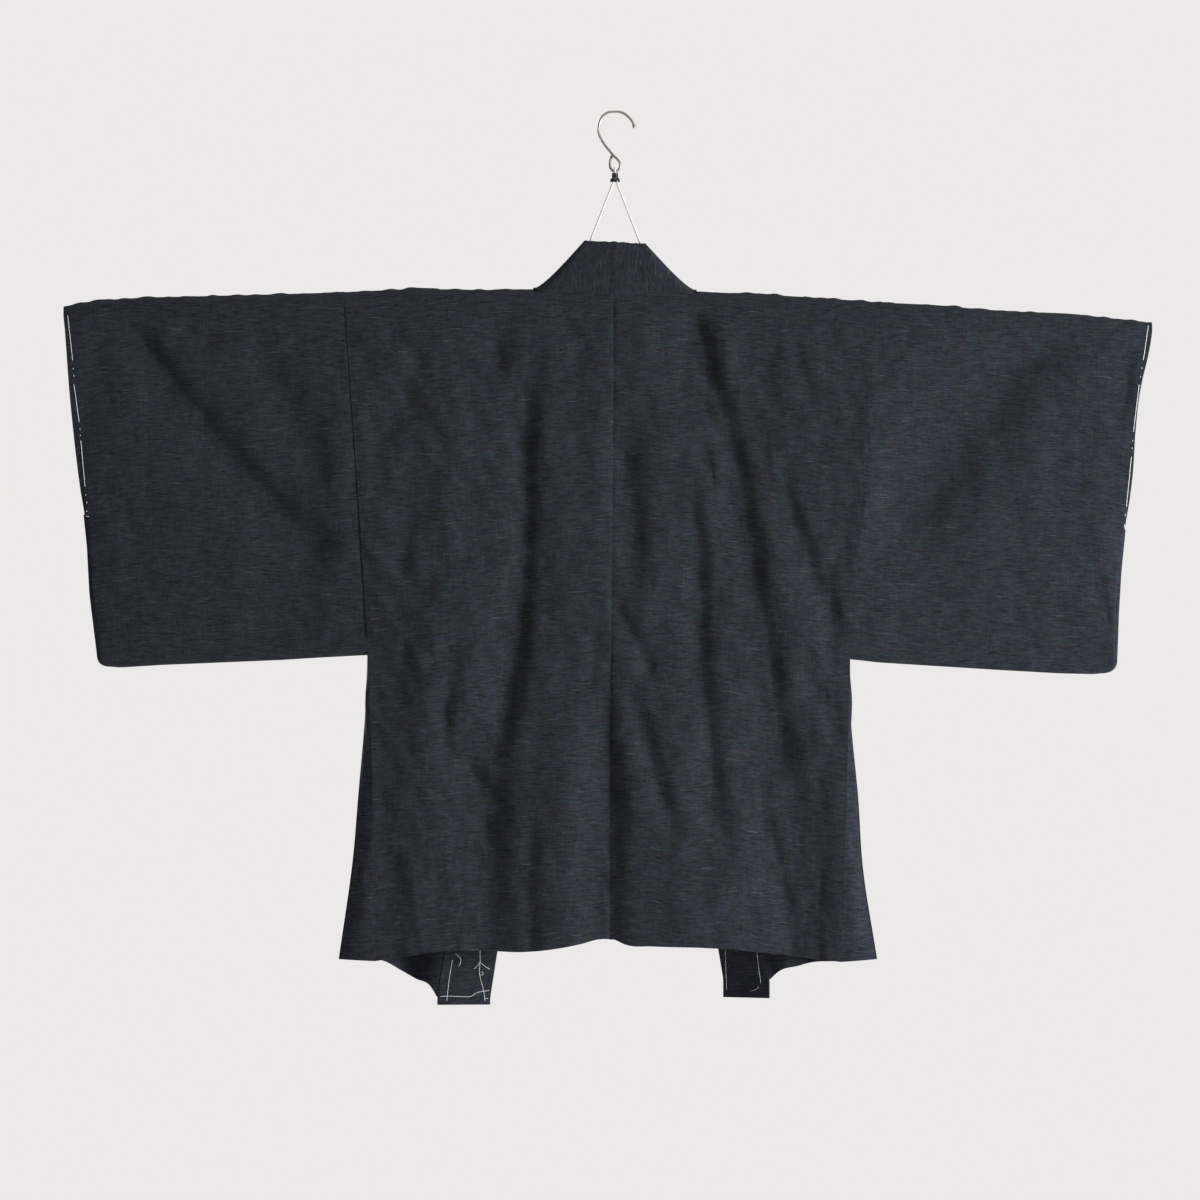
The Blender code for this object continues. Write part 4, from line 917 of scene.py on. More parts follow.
def gusset_cloth(side, step):
    """The side piece: narrow under the arm, wide at the hem, turned outwards towards the front."""
    rows = body_rows(step)
    back = np.stack(back_edge(side, rows), axis=-1)
    front = np.stack(front_edge(side, rows), axis=-1)
    front[:, 1] *= -1
    first = len(rows.upper) - 1
    start, end = back[first:], front[first:]
    reach = end - start
    length = np.linalg.norm(reach, axis=1)[:, None, None]
    share = spread(GUSSET_WIDTH, step * 0.8, start=True, end=True)[None, :, None]
    steps = -GUSSET_BITE / length + (1 - GUSSET_LAP / length) * share
    points = start[:, None] + reach[:, None] * steps
    below = points[0, 0, 2] - points[..., 2]
    # Its top edge is cut to the round of the sleeve's underarm
    underarm = (UNDERARM_HALF + WALL / 2) ** 2 - points[:1, :, 1] ** 2
    drop = np.sqrt(np.maximum(underarm, 0)) + SEAM + 0.3
    points[..., 2] -= drop * (1 - smoothstep(below / 45.0))
    across = np.cross([0, 0, 1.0], reach / length[:, 0])
    across /= np.linalg.norm(across, axis=1)[:, None]
    belly = np.sin(pi * share[..., 0]) * smoothstep(below / 60.0)
    ripple = ripples(points[..., 1] * 1.5, points[..., 2], 31, 40, 120)
    wide = 1 - np.exp(-length[..., 0] / GUSSET_ROLL_WIDTH)
    roll = GUSSET_ROLL * wide * smoothstep(below / 180.0)
    points += across[:, None] * (belly * (0.8 * ripple + roll))[..., None] * side.sign
    faces = grid_faces(numbered(points))
    weave = np.stack([steps[..., 0] * length[..., 0], -points[..., 2]], axis=-1) * MM
    return Cloth(points.reshape(-1, 3), faces, weave.reshape(-1, 2), faces)


def collar_back(side, share):
    """Sections behind the neck, centre to corner, each as (seam point, free point)."""
    seam_x = side.sign * COLLAR_TURN_X * share
    seam = np.stack([seam_x, 0 * share + CLOTH_RADIUS + 0.5, neck_z(seam_x) + JOIN / 2], axis=-1)
    corner = side.collar_corner
    free = np.stack(
        [
            (corner.x - side.sign * CORNER_BULGE) * share,
            COLLAR_STAND_Y + (COLLAR_TOP_RADIUS - COLLAR_STAND_Y) * share,
            COLLAR_CENTRE_Z + (corner.z - COLLAR_CENTRE_Z) * share,
        ],
        axis=-1,
    )
    free[:, 2] += 0.55 * ripples(free[:, 0], 0 * share, 8, 22, 60) * smoothstep((1 - share) / 0.2)
    return seam, free


def collar_turn(side, share):
    """Sections that come over the rod to the front."""
    lift = (COLLAR_WALL - WALL) / 2 + COLLAR_LIFT
    corner = side.collar_corner
    seam_turn = SEAM_TURN + (pi - SEAM_TURN) * share
    free_turn = pi * share
    seam = over_rod(side, side.sign * (NECK_X - JOIN / 2) + 0 * share, seam_turn, lift)
    free = np.stack(
        [
            corner.x - side.sign * CORNER_BULGE * (1 - np.sin(free_turn)),
            COLLAR_TOP_RADIUS * np.cos(free_turn),
            corner.z - 0.8 * (1 - np.cos(free_turn)),
        ],
        axis=-1,
    )
    return seam, free


def collar_front(side, rows, last_free):
    """Sections down the front, from the rod's height to the foot."""
    axis = rod_z(side, NECK_X)
    radius = CLOTH_RADIUS + (COLLAR_WALL - WALL) / 2 + COLLAR_LIFT
    z = heights(axis, side.underarm.z, side.collar_foot, rows)[1:]
    seam_x = x_at(side.collar_seam, z) - side.sign * JOIN / 2
    down = (axis - z) / (axis - side.collar_foot)
    twist = radians(side.band_twist) * smoothstep((down - TWIST_START) / TWIST_RUN)
    depth = np.maximum(y_at(FRONT_DEPTH, z), radius)
    lift = (last_free[2] - axis) * (1 - smoothstep((axis - z) / COLLAR_LEVEL))
    clear = side.sign * COLLAR_WALL / 4 * np.abs(np.sin(twist))
    seam = np.stack([seam_x - clear, -depth, z], axis=-1)
    across, forwards = COLLAR_WIDTH * np.cos(twist), COLLAR_WIDTH * np.sin(twist)
    free = seam + np.stack([-side.sign * across, -forwards, lift], axis=-1)
    return seam, free


def collar_half(side, rows):
    """Sections of the collar from the centre back to one foot."""
    back = collar_back(side, np.linspace(0, 1, NECK_SECTIONS))
    turn = [part[1:] for part in collar_turn(side, np.linspace(0, 1, TURN_SECTIONS))]
    front = collar_front(side, rows, turn[1][-1])
    return [np.concatenate(parts) for parts in zip(back, turn, front)]


def collar_cloth(step):
    """One band: left foot, up the left front, behind the neck, down the right front."""
    rows = body_rows(step * 1.2)
    left, right = collar_half(LEFT, rows), collar_half(RIGHT, rows)
    seam = np.concatenate([left[0][:0:-1], right[0]])[:, None]
    free = np.concatenate([left[1][:0:-1], right[1]])[:, None]
    share = np.linspace(0, 1, BAND_COLUMNS)[None, :, None]
    points = seam + (free - seam) * share
    share = share[..., 0]
    # Behind the neck the band stands up, and sags towards its corners
    standing = (free[..., 2] - seam[..., 2] > 50) & (np.abs(free[..., 0]) < NECK_X / 2)
    to_corner = smoothstep((np.abs(seam[..., 0]) - COLLAR_SAG_X) / 50)
    sag = COLLAR_SAG * np.sin(pi * share**0.6) * to_corner
    points[..., 2] -= np.where(standing, sag, 0)
    # Where it comes forwards it leans from its seam, over the rod, to its corner
    crossing = (seam[..., 1] < -CLOTH_RADIUS) & (free[..., 2] > COLLAR_CLEAR_Z)
    rise = (points[..., 2] - COLLAR_CLEAR_Z) / (COLLAR_TOP_Z - COLLAR_CLEAR_Z)
    above = np.clip(rise, 0, 1)
    clear_y = seam[..., 1] + (-COLLAR_TOP_RADIUS - seam[..., 1]) * above
    points[..., 1] = np.where(crossing, clear_y, points[..., 1])
    # The folded band's inner edge shows as a faint step, and it puckers a little
    middle = np.sin(pi * share) * smoothstep((PUCKER_TOP_Z - points[..., 2]) / 60.0)
    points[..., 1] += middle * 0.8 * ripples(points[..., 0], points[..., 2], 41, 60, 130)
    behind = (seam[..., 1] > 0) * np.sin(pi * share)
    points[..., 1] += behind * 0.35 * ripples(points[..., 0], points[..., 2], 43, 26, 60)
    points[..., 1] += 0.45 * behind * np.exp(-(((share - INNER_EDGE) / 0.05) ** 2))
    points[..., 1] += (seam[..., 1] > 0) * sunk(share * COLLAR_WIDTH, *COLLAR_SINK)
    faces = grid_faces(numbered(points))
    return Cloth(points.reshape(-1, 3), faces, band_map(points).reshape(-1, 2), faces)


# Meshes


def deselect():
    bpy.ops.object.select_all(action="DESELECT")


def select_only(obj):
    deselect()
    obj.select_set(True)
    bpy.context.view_layer.objects.active = obj


def new_piece(name, mesh, material, slot, *replaced):
    obj = bpy.data.objects.new(name, mesh)
    bpy.context.scene.collection.objects.link(obj)
    return dressed(obj, material, slot, *replaced)


def dressed(obj, material, slot, *replaced):
    """A piece that rides on the root body, in place of the nodes it stands for."""
    obj.data.materials.clear()
    obj.data.materials.append(material)
    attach(obj, "root")
    if replaced:
        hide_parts(*replaced)
    return obj


def apply_modifier(obj, kind, **settings):
    select_only(obj)
    modifier = obj.modifiers.new(kind.title(), kind)
    for key, value in settings.items():
        setattr(modifier, key, value)
    bpy.ops.object.modifier_apply(modifier=modifier.name)


def cloth_piece(name, cloth, wall, material, slot, *replaced):
    """A sheet given its wall on both sides, with its edges rounded over."""
    mesh = bpy.data.meshes.new(name)
    mesh.vertices.add(len(cloth.points))
    mesh.vertices.foreach_set("co", (cloth.points * MM).astype(np.float32).ravel())
    mesh.loops.add(cloth.faces.size)
    mesh.loops.foreach_set("vertex_index", cloth.faces.astype(np.int32).ravel())
    mesh.polygons.add(len(cloth.faces))
    mesh.polygons.foreach_set("loop_start", np.arange(len(cloth.faces), dtype=np.int32) * 4)
    mesh.update(calc_edges=True)
    layer = mesh.uv_layers.new(name="Weave")
    layer.data.foreach_set("uv", cloth.uv[cloth.uv_faces.ravel()].astype(np.float32).ravel())
    drop_loose(mesh)
    mesh.shade_smooth()
    obj = new_piece(name, mesh, material, slot, *replaced)
    apply_modifier(
        obj, "SOLIDIFY", thickness=wall * MM, offset=0.0, use_even_offset=False,
        use_quality_normals=True,
    )
    apply_modifier(
        obj, "BEVEL", width=wall * EDGE_ROUND * MM, segments=2, limit_method="ANGLE",
        angle_limit=radians(65),
    )
    obj.data.shade_smooth()
    return obj


def drop_loose(mesh):
    """Removes points that no face uses."""
    shape = bmesh.new()
    shape.from_mesh(mesh)
    bmesh.ops.delete(shape, geom=[v for v in shape.verts if not v.link_faces], context="VERTS")
    shape.to_mesh(mesh)
    shape.free()


def smooth_route(points, spacing):
    """Points along a smooth curve through a route's own points."""
    points = np.array(points, float)
    ends = np.concatenate([[2 * points[0] - points[1]], points, [2 * points[-1] - points[-2]]])
    route = [points[0]]
    for before, start, end, after in zip(ends, ends[1:], ends[2:], ends[3:]):
        pieces = max(1, round(np.linalg.norm(end - start) / spacing))
        slope_in, slope_out = (end - before) / 2, (after - start) / 2
        for step in range(1, pieces + 1):
            t = step / pieces
            bend = 3 * (end - start) - 2 * slope_in - slope_out
            turn = 2 * (start - end) + slope_in + slope_out
            route.append(start + slope_in * t + bend * t**2 + turn * t**3)
    return np.array(route)


def swept(route, diameter, sides, strands=0, lay=1.0):
    """A tube along a route: its points and faces. A laid cord has strands, which turn once
    round it in as many lays as there are strands."""
    route = np.asarray(route, float)
    along = np.gradient(route, axis=0)
    along /= np.linalg.norm(along, axis=1)[:, None]
    normal = np.cross(along[0], [0.3, 1.0, 0.2])
    turns = 2 * pi * np.arange(sides) / sides
    run = np.concatenate([[0], np.cumsum(np.linalg.norm(np.diff(route, axis=0), axis=1))])
    rings = []
    for place, direction, distance in zip(route, along, run):
        normal = normal - direction * (normal @ direction)
        normal /= np.linalg.norm(normal)
        other = np.cross(direction, normal)
        radius = np.full(sides, diameter / 2)
        if strands:
            turned_by = 2 * pi * distance / (lay * strands)
            radius = radius * (0.96 + 0.04 * np.cos(strands * (turns - turned_by)))
        out = np.outer(np.cos(turns) * radius, normal)
        rings.append(place + out + np.outer(np.sin(turns) * radius, other))
    index = numbered(np.array(rings))
    closed = np.concatenate([index, index[:, :1]], axis=1)
    faces = [tuple(face[::-1]) for face in grid_faces(closed)]
    faces += [tuple(index[0][::-1]), tuple(index[-1])]
    return np.concatenate(rings), faces


def tube_mesh(name, tubes):
    """One mesh of several tubes."""
    points, faces = [], []
    for tube_points, tube_faces in tubes:
        base = sum(len(p) for p in points)
        points.append(tube_points)
        faces += [tuple(int(i) + base for i in face) for face in tube_faces]
    mesh = bpy.data.meshes.new(name)
    mesh.from_pydata((np.concatenate(points) * MM).tolist(), [], faces)
    shape = bmesh.new()
    shape.from_mesh(mesh)
    bmesh.ops.recalc_face_normals(shape, faces=shape.faces)
    shape.to_mesh(mesh)
    shape.free()
    mesh.shade_smooth()
    return mesh


# Materials


class Nodes:
    """A material's node tree, built node by node."""

    def __init__(self, name, colour, roughness, **sockets):
        self.material = bpy.data.materials.new(name)
        self.material.use_nodes = True
        self.tree = self.material.node_tree
        self.shader = self.tree.nodes["Principled BSDF"]
        self.shader.inputs["Base Color"].default_value = (*colour, 1.0)
        self.shader.inputs["Roughness"].default_value = roughness
        for socket, value in sockets.items():
            self.shader.inputs[socket.replace("_", " ")].default_value = value

    def add(self, kind, inputs=(), **settings):
        node = self.tree.nodes.new("ShaderNode" + kind)
        for key, value in settings.items():
            setattr(node, key, value)
        for key, value in dict(inputs).items():
            if isinstance(value, bpy.types.NodeSocket):
                self.tree.links.new(value, node.inputs[key])
            else:
                node.inputs[key].default_value = value
        return node

    def link(self, output, socket):
        self.tree.links.new(output, self.shader.inputs[socket])

    def object_coords(self, scale):
        coords = self.add("TexCoord").outputs["Object"]
        return self.add("Mapping", {"Vector": coords, "Scale": scale}).outputs["Vector"]

    def weave_coords(self, scale, place):
        coords = self.add("UVMap", uv_map="Weave").outputs["UV"]
        inputs = {"Vector": coords, "Scale": scale, "Location": place}
        return self.add("Mapping", inputs).outputs["Vector"]

    def thread_coords(self, pitch, scale, place):
        """The weave's coordinates with every thread's width drawn together to one line."""
        coords = self.add("UVMap", uv_map="Weave").outputs["UV"]
        moved = self.add("VectorMath", {0: coords, 1: place}, operation="ADD").outputs["Vector"]
        lines = self.add("VectorMath", {0: moved, 1: pitch}, operation="SNAP").outputs["Vector"]
        return self.add("Mapping", {"Vector": lines, "Scale": scale}).outputs["Vector"]

    def noise(self, vector, detail, rough=0.5):
        inputs = {"Vector": vector, "Scale": 1.0, "Detail": detail, "Roughness": rough}
        return self.add("TexNoise", inputs).outputs["Fac"]

    def levels(self, value, low, high, to_low=0.0, to_high=1.0):
        inputs = {"Value": value, "From Min": low, "From Max": high}
        inputs |= {"To Min": to_low, "To Max": to_high}
        return self.add("MapRange", inputs).outputs["Result"]

    def blend(self, share, first, second):
        def rgba(colour):
            return colour if isinstance(colour, bpy.types.NodeSocket) else (*colour, 1.0)

        inputs = {0: share, 6: rgba(first), 7: rgba(second)}
        return self.add("Mix", inputs, data_type="RGBA").outputs[2]

    def sum(self, first, second):
        return self.add("Math", {0: first, 1: second}, operation="ADD").outputs["Value"]

    def times(self, first, second):
        return self.add("Math", {0: first, 1: second}, operation="MULTIPLY").outputs["Value"]

    def bump(self, height, distance, strength):
        inputs = {"Height": height, "Distance": distance, "Strength": strength}
        return self.add("Bump", inputs).outputs["Normal"]


def chosen(colour):
    """A colour as the panel has it."""
    return tuple(getattr(bpy.context.scene.haori_colours, colour))


def shaded(colour, factor):
    return tuple(min(1.0, c * factor) for c in colour)


def silk(name, painted_light_tone, place):
    """Slub silk, plain weave: uneven picks cross dark ends, in cool, brown and green casts."""
    # The tone factor scales every yarn's colour. Where it differs from 1, on the body's right half
    # and on the side pieces, it is painted light and shade.
    cool, warm, slub = (shaded(chosen(yarn), painted_light_tone) for yarn in ("cool", "warm", "slub"))
    made = Nodes(
        name, cool, 0.8, Sheen_Weight=0.03, Sheen_Roughness=0.5, Specular_IOR_Level=0.12
    )
    along_pick, along_end = (FINE_SNAP, PICK, 1), (PICK, FINE_SNAP, 1)
    along_thin = (FINE_SNAP, PICK / 2, 1)
    elsewhere = (place[0] + 3.1, place[1], 0)
    picks = made.noise(made.thread_coords(along_pick, (58, 1.9 / PICK, 1), place), 2.0, 0.75)
    thin = made.noise(made.thread_coords(along_thin, (150, 3.4 / PICK, 1), place), 1.0, 0.6)
    ends = made.noise(made.thread_coords(along_end, (1.7 / PICK, 45, 1), place), 1.0, 0.6)
    bands = made.noise(made.weave_coords((75, 4, 1), place), 1.0)
    blot = made.noise(made.weave_coords((95, 110, 1), place), 2.0, 0.6)
    cast = made.noise(made.weave_coords((105, 125, 1), elsewhere), 1.0)
    knots = made.noise(made.thread_coords(along_pick, (34, 2.3 / PICK, 1), place), 0.0)
    pick_shade = made.levels(picks, 0.28, 0.72, 0.4, 1.62)
    shade = made.times(pick_shade, made.levels(ends, 0.3, 0.7, 0.82, 1.18))
    shade = made.times(shade, made.levels(thin, 0.3, 0.7, 0.76, 1.24))
    shade = made.times(shade, made.levels(bands, 0.3, 0.7, 0.95, 1.05))
    hue = made.blend(made.levels(blot, 0.36, 0.64), cool, warm)
    tint = made.blend(made.levels(cast, 0.35, 0.65), (1.07, 0.93, 1.06), (0.94, 1.08, 0.96))
    colour = made.add("VectorMath", {0: hue, 1: tint}, operation="MULTIPLY").outputs["Vector"]
    inputs = {0: colour, "Scale": shade}
    colour = made.add("VectorMath", inputs, operation="SCALE").outputs["Vector"]
    colour = made.blend(made.levels(knots, 0.77, 0.83, 0.0, 0.6), colour, slub)
    made.link(colour, "Base Color")
    made.link(made.levels(picks, 0.3, 0.7, 0.9, 0.7), "Roughness")
    thread = made.sum(made.times(picks, 0.7), made.times(ends, 0.3))
    made.link(made.bump(thread, 0.0003, 0.5), "Normal")
    return made.material


def laid_cord(name, colour, roughness, soft=0.0):
    """Spun yarn laid into a cord or a thread; soft is how much light passes through it."""
    made = Nodes(
        name, colour, roughness, Sheen_Weight=0.15, Subsurface_Weight=soft,
        Subsurface_Radius=(1.0, 1.0, 1.0), Subsurface_Scale=0.002,
    )
    fibre = made.noise(made.object_coords((900, 900, 300)), 3.0, 0.6)
    made.link(made.blend(fibre, shaded(colour, 0.82), shaded(colour, 1.1)), "Base Color")
    made.link(made.bump(fibre, 0.0002, 0.6), "Normal")
    return made.material


def lacquered_wood():
    colour = chosen("wood")
    made = Nodes("Rod lacquer", colour, 0.38, Coat_Weight=0.3, Coat_Roughness=0.2)
    grain = made.noise(made.object_coords((6, 160, 160)), 4.0, 0.6)
    pore = made.noise(made.object_coords((30, 900, 900)), 2.0, 0.5)
    streaks = made.levels(grain, 0.35, 0.7)
    streaked = made.blend(streaks, shaded(colour, 0.5), shaded(colour, 1.5))
    pores = made.levels(pore, 0.6, 0.75, 0.0, 0.6)
    made.link(made.blend(pores, streaked, shaded(colour, 0.35)), "Base Color")
    made.link(made.levels(grain, 0.3, 0.7, 0.32, 0.5), "Roughness")
    made.link(made.bump(pore, 0.0002, 0.4), "Normal")
    return made.material


def drawn_steel():
    colour = chosen("steel")
    made = Nodes("Hook steel", colour, 0.45, Metallic=1.0)
    scuff = made.noise(made.object_coords((260, 260, 260)), 4.0, 0.6)
    made.link(made.levels(scuff, 0.3, 0.75, 0.38, 0.58), "Roughness")
    dulled = made.blend(made.levels(scuff, 0.4, 0.75), colour, shaded(colour, 0.65))
    made.link(dulled, "Base Color")
    made.link(made.bump(scuff, 0.00005, 0.4), "Normal")
    return made.material


def black_stopper():
    made = Nodes("Black stopper", (0.012, 0.012, 0.013), 0.36)
    dust = made.noise(made.object_coords((500, 500, 500)), 3.0, 0.6)
    dusty = made.levels(dust, 0.5, 0.8)
    made.link(made.blend(dusty, (0.010, 0.010, 0.011), (0.028, 0.028, 0.028)), "Base Color")
    made.link(made.levels(dust, 0.3, 0.7, 0.28, 0.48), "Roughness")
    return made.material


def stage_paint():
    colour = chosen("stage")
    made = Nodes("Pale floor", colour, 0.9)
    mottle = made.noise(made.object_coords((3, 3, 3)), 3.0)
    made.link(made.blend(mottle, shaded(colour, 0.98), colour), "Base Color")
    return made.material


def shared(name, make, *details):
    """A material made once and used by every piece of its kind."""
    return bpy.data.materials.get(name) or make(name, *details)


# Sizes and colours


def length_property(name, description, default, **limits):
    return FloatProperty(
        name=name, description=description, default=default, unit="LENGTH", **limits
    )


def colour_property(name, description, default):
    return FloatVectorProperty(
        name=name, description=description, default=default, subtype="COLOR"
    )


class HaoriSizes(bpy.types.PropertyGroup):
    step: length_property(
        "Grid step", "Distance between the points of the cloth", 0.0042, min=0.002
    )
    wire: length_property("Hook wire", "Diameter of the hook's wire", 0.003)
    ball: length_property("Hook ball", "Diameter of the ball on the hook's tip", 0.0047)
    cord: length_property("Hanging cord", "Diameter of the hanger's cord", 0.0026)
    loop: length_property("Front loops", "Diameter of the loops' cord", 0.002)
    thread: length_property("Basting thread", "Diameter of the white basting thread", 0.0007)
    camera: length_property("Camera distance", "From the camera to the jacket's back", 12.0)


class HaoriColours(bpy.types.PropertyGroup):
    cool: colour_property("Cool silk", "The bluer yarns", (0.0156, 0.0189, 0.0270))
    warm: colour_property("Warm silk", "The browner yarns", (0.0190, 0.0189, 0.0232))
    slub: colour_property("Slubs", "The pale thick places in the weft", (0.060, 0.068, 0.078))
    thread: colour_property("Basting", "The basting thread", (0.80, 0.80, 0.78))
    wood: colour_property("Rod", "The rod's lacquered wood", (0.11, 0.065, 0.04))
    steel: colour_property("Hook", "The hook's steel", (0.41, 0.385, 0.35))
    cord: colour_property("Cord", "The hanging cord", (0.66, 0.63, 0.60))
    stage: colour_property("Stage", "The floor", (0.80, 0.79, 0.79))


# The stage and the pieces, each with its operator


class HAORI_OT_stage(bpy.types.Operator):
    """Add the camera, the soft light and the pale floor"""

    bl_idname = "haori.stage"
    bl_label = "Stage"

    def execute(self, context):
        scene = context.scene
        distance = scene.haori_sizes.camera
        deselect()
        view_x, view_z = VIEW_CENTRE
        bpy.ops.object.camera_add(location=(view_x, distance, view_z), rotation=(pi / 2, 0, pi))
        camera = context.object
        camera.data.sensor_width = SENSOR
        camera.data.lens = SENSOR * (distance - VIEW_PLANE) / VIEW_WIDTH
        camera.data.clip_end = 100.0
        scene.camera = camera
        for lamp in LAMPS:
            add_lamp(lamp)
        bpy.ops.object.light_add(type="SUN", location=(0, 0, 3))
        context.object.data.energy = 1.3
        context.object.data.angle = radians(30)
        scene.world = pale_room()
        scene.view_settings.view_transform = "Standard"
        bpy.ops.mesh.primitive_circle_add(
            vertices=96, radius=FLOOR_RADIUS, fill_type="NGON", location=(0, 0, FLOOR_Z)
        )
        floor = context.object
        floor.name = "floor"
        bpy.ops.object.transform_apply(location=True)
        floor.data.materials.append(stage_paint())
        return {"FINISHED"}


def pale_room():
    """A pale background that lights the room less than it shows."""
    world = bpy.data.worlds.new("Pale room")
    world.use_nodes = True
    tree = world.node_tree
    shown = tree.nodes["Background"]
    shown.inputs["Color"].default_value = (0.835, 0.815, 0.815, 1.0)
    soft = tree.nodes.new("ShaderNodeBackground")
    soft.inputs["Color"].default_value = (1.0, 0.97, 0.98, 1.0)
    soft.inputs["Strength"].default_value = 0.25
    mix = tree.nodes.new("ShaderNodeMixShader")
    seen = tree.nodes.new("ShaderNodeLightPath").outputs["Is Camera Ray"]
    tree.links.new(seen, mix.inputs[0])
    tree.links.new(soft.outputs[0], mix.inputs[1])
    tree.links.new(shown.outputs[0], mix.inputs[2])
    tree.links.new(mix.outputs[0], tree.nodes["World Output"].inputs["Surface"])
    return world


def add_lamp(lamp):
    bpy.ops.object.light_add(type="AREA", location=lamp.place)
    light = bpy.context.object
    light.name = lamp.name
    light.data.shape = "SQUARE"
    light.data.size = lamp.size
    light.data.energy = lamp.power
    light.data.color = lamp.colour
    aim = Vector(LAMP_AIM) - Vector(lamp.place)
    light.rotation_euler = aim.to_track_quat("-Z", "Y").to_euler()


def sewn_piece(side, kind, shape, painted_light_tone, weave_place, flat, area, *rests_on):
    """One side's piece of a kind: its cloth and its silk; what it hangs from is not used."""
    cloth = shape(side, bpy.context.scene.haori_sizes.step / MM)
    place = (side.sign * weave_place[0], weave_place[1], 0)
    material = shared(f"{kind.title()} silk {side.name}", silk, painted_light_tone, place)
    name, node = f"{kind}_cloth_{side.name}", f"{kind}_{side.name}"
    piece = cloth_piece(name, cloth, WALL, material, kind + "_silk", node)


class HAORI_OT_body(bpy.types.Operator):
    """Hang both halves of the body, back to front over the rod"""

    bl_idname = "haori.body"
    bl_label = "Body"

    def execute(self, context):
        # The right half's silk is darkened a little: painted shade standing in for the shade of
        # its deep folds.
        for side, painted_light_tone in ((LEFT, 1.0), (RIGHT, 0.95)):
            arm = "hanger_arm_" + side.name
            sewn_piece(
                side, "body", body_cloth, painted_light_tone, (1.7, 0.3), (0.33, 1.66), 0.40, arm, "hanger_hub"
            )
        return {"FINISHED"}


class HAORI_OT_sleeves(bpy.types.Operator):
    """Hang both sleeves as tubes over the ends of the rod"""

    bl_idname = "haori.sleeves"
    bl_label = "Sleeves"

    def execute(self, context):
        for side, area in ((LEFT, 0.295), (RIGHT, 0.282)):
            arm = "hanger_arm_" + side.name
            sewn_piece(side, "sleeve", sleeve_cloth, 1.0, (2.9, 1.9), (0.35, 0.88), area, arm)
        return {"FINISHED"}


class HAORI_OT_gussets(bpy.types.Operator):
    """Set the side pieces between the back and the fronts"""

    bl_idname = "haori.gussets"
    bl_label = "Side pieces"

    def execute(self, context):
        # The left side piece's silk is lightened and the right one's darkened: painted light and
        # shade for how the lamp falls on them.
        for side, painted_light_tone in ((LEFT, 1.2), (RIGHT, 0.9)):
            body = "body_cloth_" + side.name
            sewn_piece(
                side, "gusset", gusset_cloth, painted_light_tone, (4.1, 2.7), (0.042, 0.376), 0.0095, body
            )
        return {"FINISHED"}


class HAORI_OT_collar(bpy.types.Operator):
    """Fold the collar band round the neck and down both fronts"""

    bl_idname = "haori.collar"
    bl_label = "Collar"

    def execute(self, context):
        cloth = collar_cloth(context.scene.haori_sizes.step / MM)
        material = shared("Collar silk", silk, 1.0, (7.3, 0.9, 0))
        piece = cloth_piece("collar_band", cloth, COLLAR_WALL, material, "collar_silk", "collar")
        return {"FINISHED"}


class HAORI_OT_front_loops(bpy.types.Operator):
    """Sew a small cord loop on each collar seam, for the cord that ties the fronts"""

    bl_idname = "haori.front_loops"
    bl_label = "Front loops"

    def execute(self, context):
        diameter = context.scene.haori_sizes.loop / MM
        material = shared("Loop silk", laid_cord, (0.045, 0.046, 0.055), 0.7)
        for side in SIDES:
            seam_x = x_at(side.collar_seam, LOOP_Z)
            y = -(y_at(FRONT_DEPTH, LOOP_Z) + (COLLAR_WALL + diameter) / 2 + SEAM)
            bends = [
                Bend(seam_x - side.sign * across, y, LOOP_Z + rise) for across, rise in LOOP_SHAPE
            ]
            cord = swept(smooth_route(bends, 0.8), diameter, 15, strands=3, lay=3.0)
            name = "himo_cord_" + side.name
            mesh = tube_mesh(name, [cord])
            new_piece(name, mesh, material, "loop_cord", "himo_loop_" + side.name)
        return {"FINISHED"}


def laid_on(tree, run, lift, ends_down=0.9, lowest=-ABOVE_CLOTH):
    """A run of (x, z) laid on a cloth's back face, its ends taken into the cloth. Cloth that
    lies further forwards than y = lowest isn't the one that it is laid on."""
    flat = smooth_route([(x, 0.0, z) for x, z in run], THREAD_STEP)
    laid = []
    for x, _, z in flat:
        for place in (x + shift for shift in NEARBY):
            above = Vector((place, ABOVE_CLOTH, z)) * MM
            hit, _, _, _ = tree.ray_cast(above, Vector((0, -1, 0)))
            if hit is not None and hit.y > lowest * MM:
                laid.append([place, hit.y / MM + lift, z])
                break
    if len(laid) < len(flat):
        raise RuntimeError("A thread misses its cloth at " + str(run[0]))
    laid[0][1] -= ends_down
    laid[-1][1] -= ends_down
    return np.array(laid)


def tree_of(name):
    graph = bpy.context.evaluated_depsgraph_get()
    return BVHTree.FromObject(bpy.data.objects[name], graph)


class HAORI_OT_basting(bpy.types.Operator):
    """Run the basting threads along the cuffs and on the collar's feet"""

    bl_idname = "haori.basting"
    bl_label = "Basting threads"

    def execute(self, context):
        diameter = context.scene.haori_sizes.thread / MM
        material = shared("Basting thread", laid_cord, chosen("thread"), 0.85)
        collar = tree_of("collar_band")
        sleeves = {side.name: tree_of("sleeve_cloth_" + side.name) for side in SIDES}
        anywhere = -ABOVE_CLOTH
        pieces = (
            ("basting_cuff_left", sleeves["left"], LEFT_CUFF_STITCHES, 0.0, 1.0),
            ("basting_cuff_right", sleeves["right"], RIGHT_CUFF_STITCHES, 0.0, 1.0),
            ("basting_foot_left", collar, LEFT_FOOT_THREADS, anywhere, 0.7),
            ("basting_foot_right", collar, RIGHT_FOOT_THREADS, anywhere, 0.5),
        )
        for name, tree, threads, lowest, share in pieces:
            wide = diameter * share
            laid = [laid_on(tree, run, wide * 0.35, lowest=lowest) for run in threads]
            tubes = [swept(route, wide, 8) for route in laid]
            new_piece(name, tube_mesh(name, tubes), material, None)
        return {"FINISHED"}


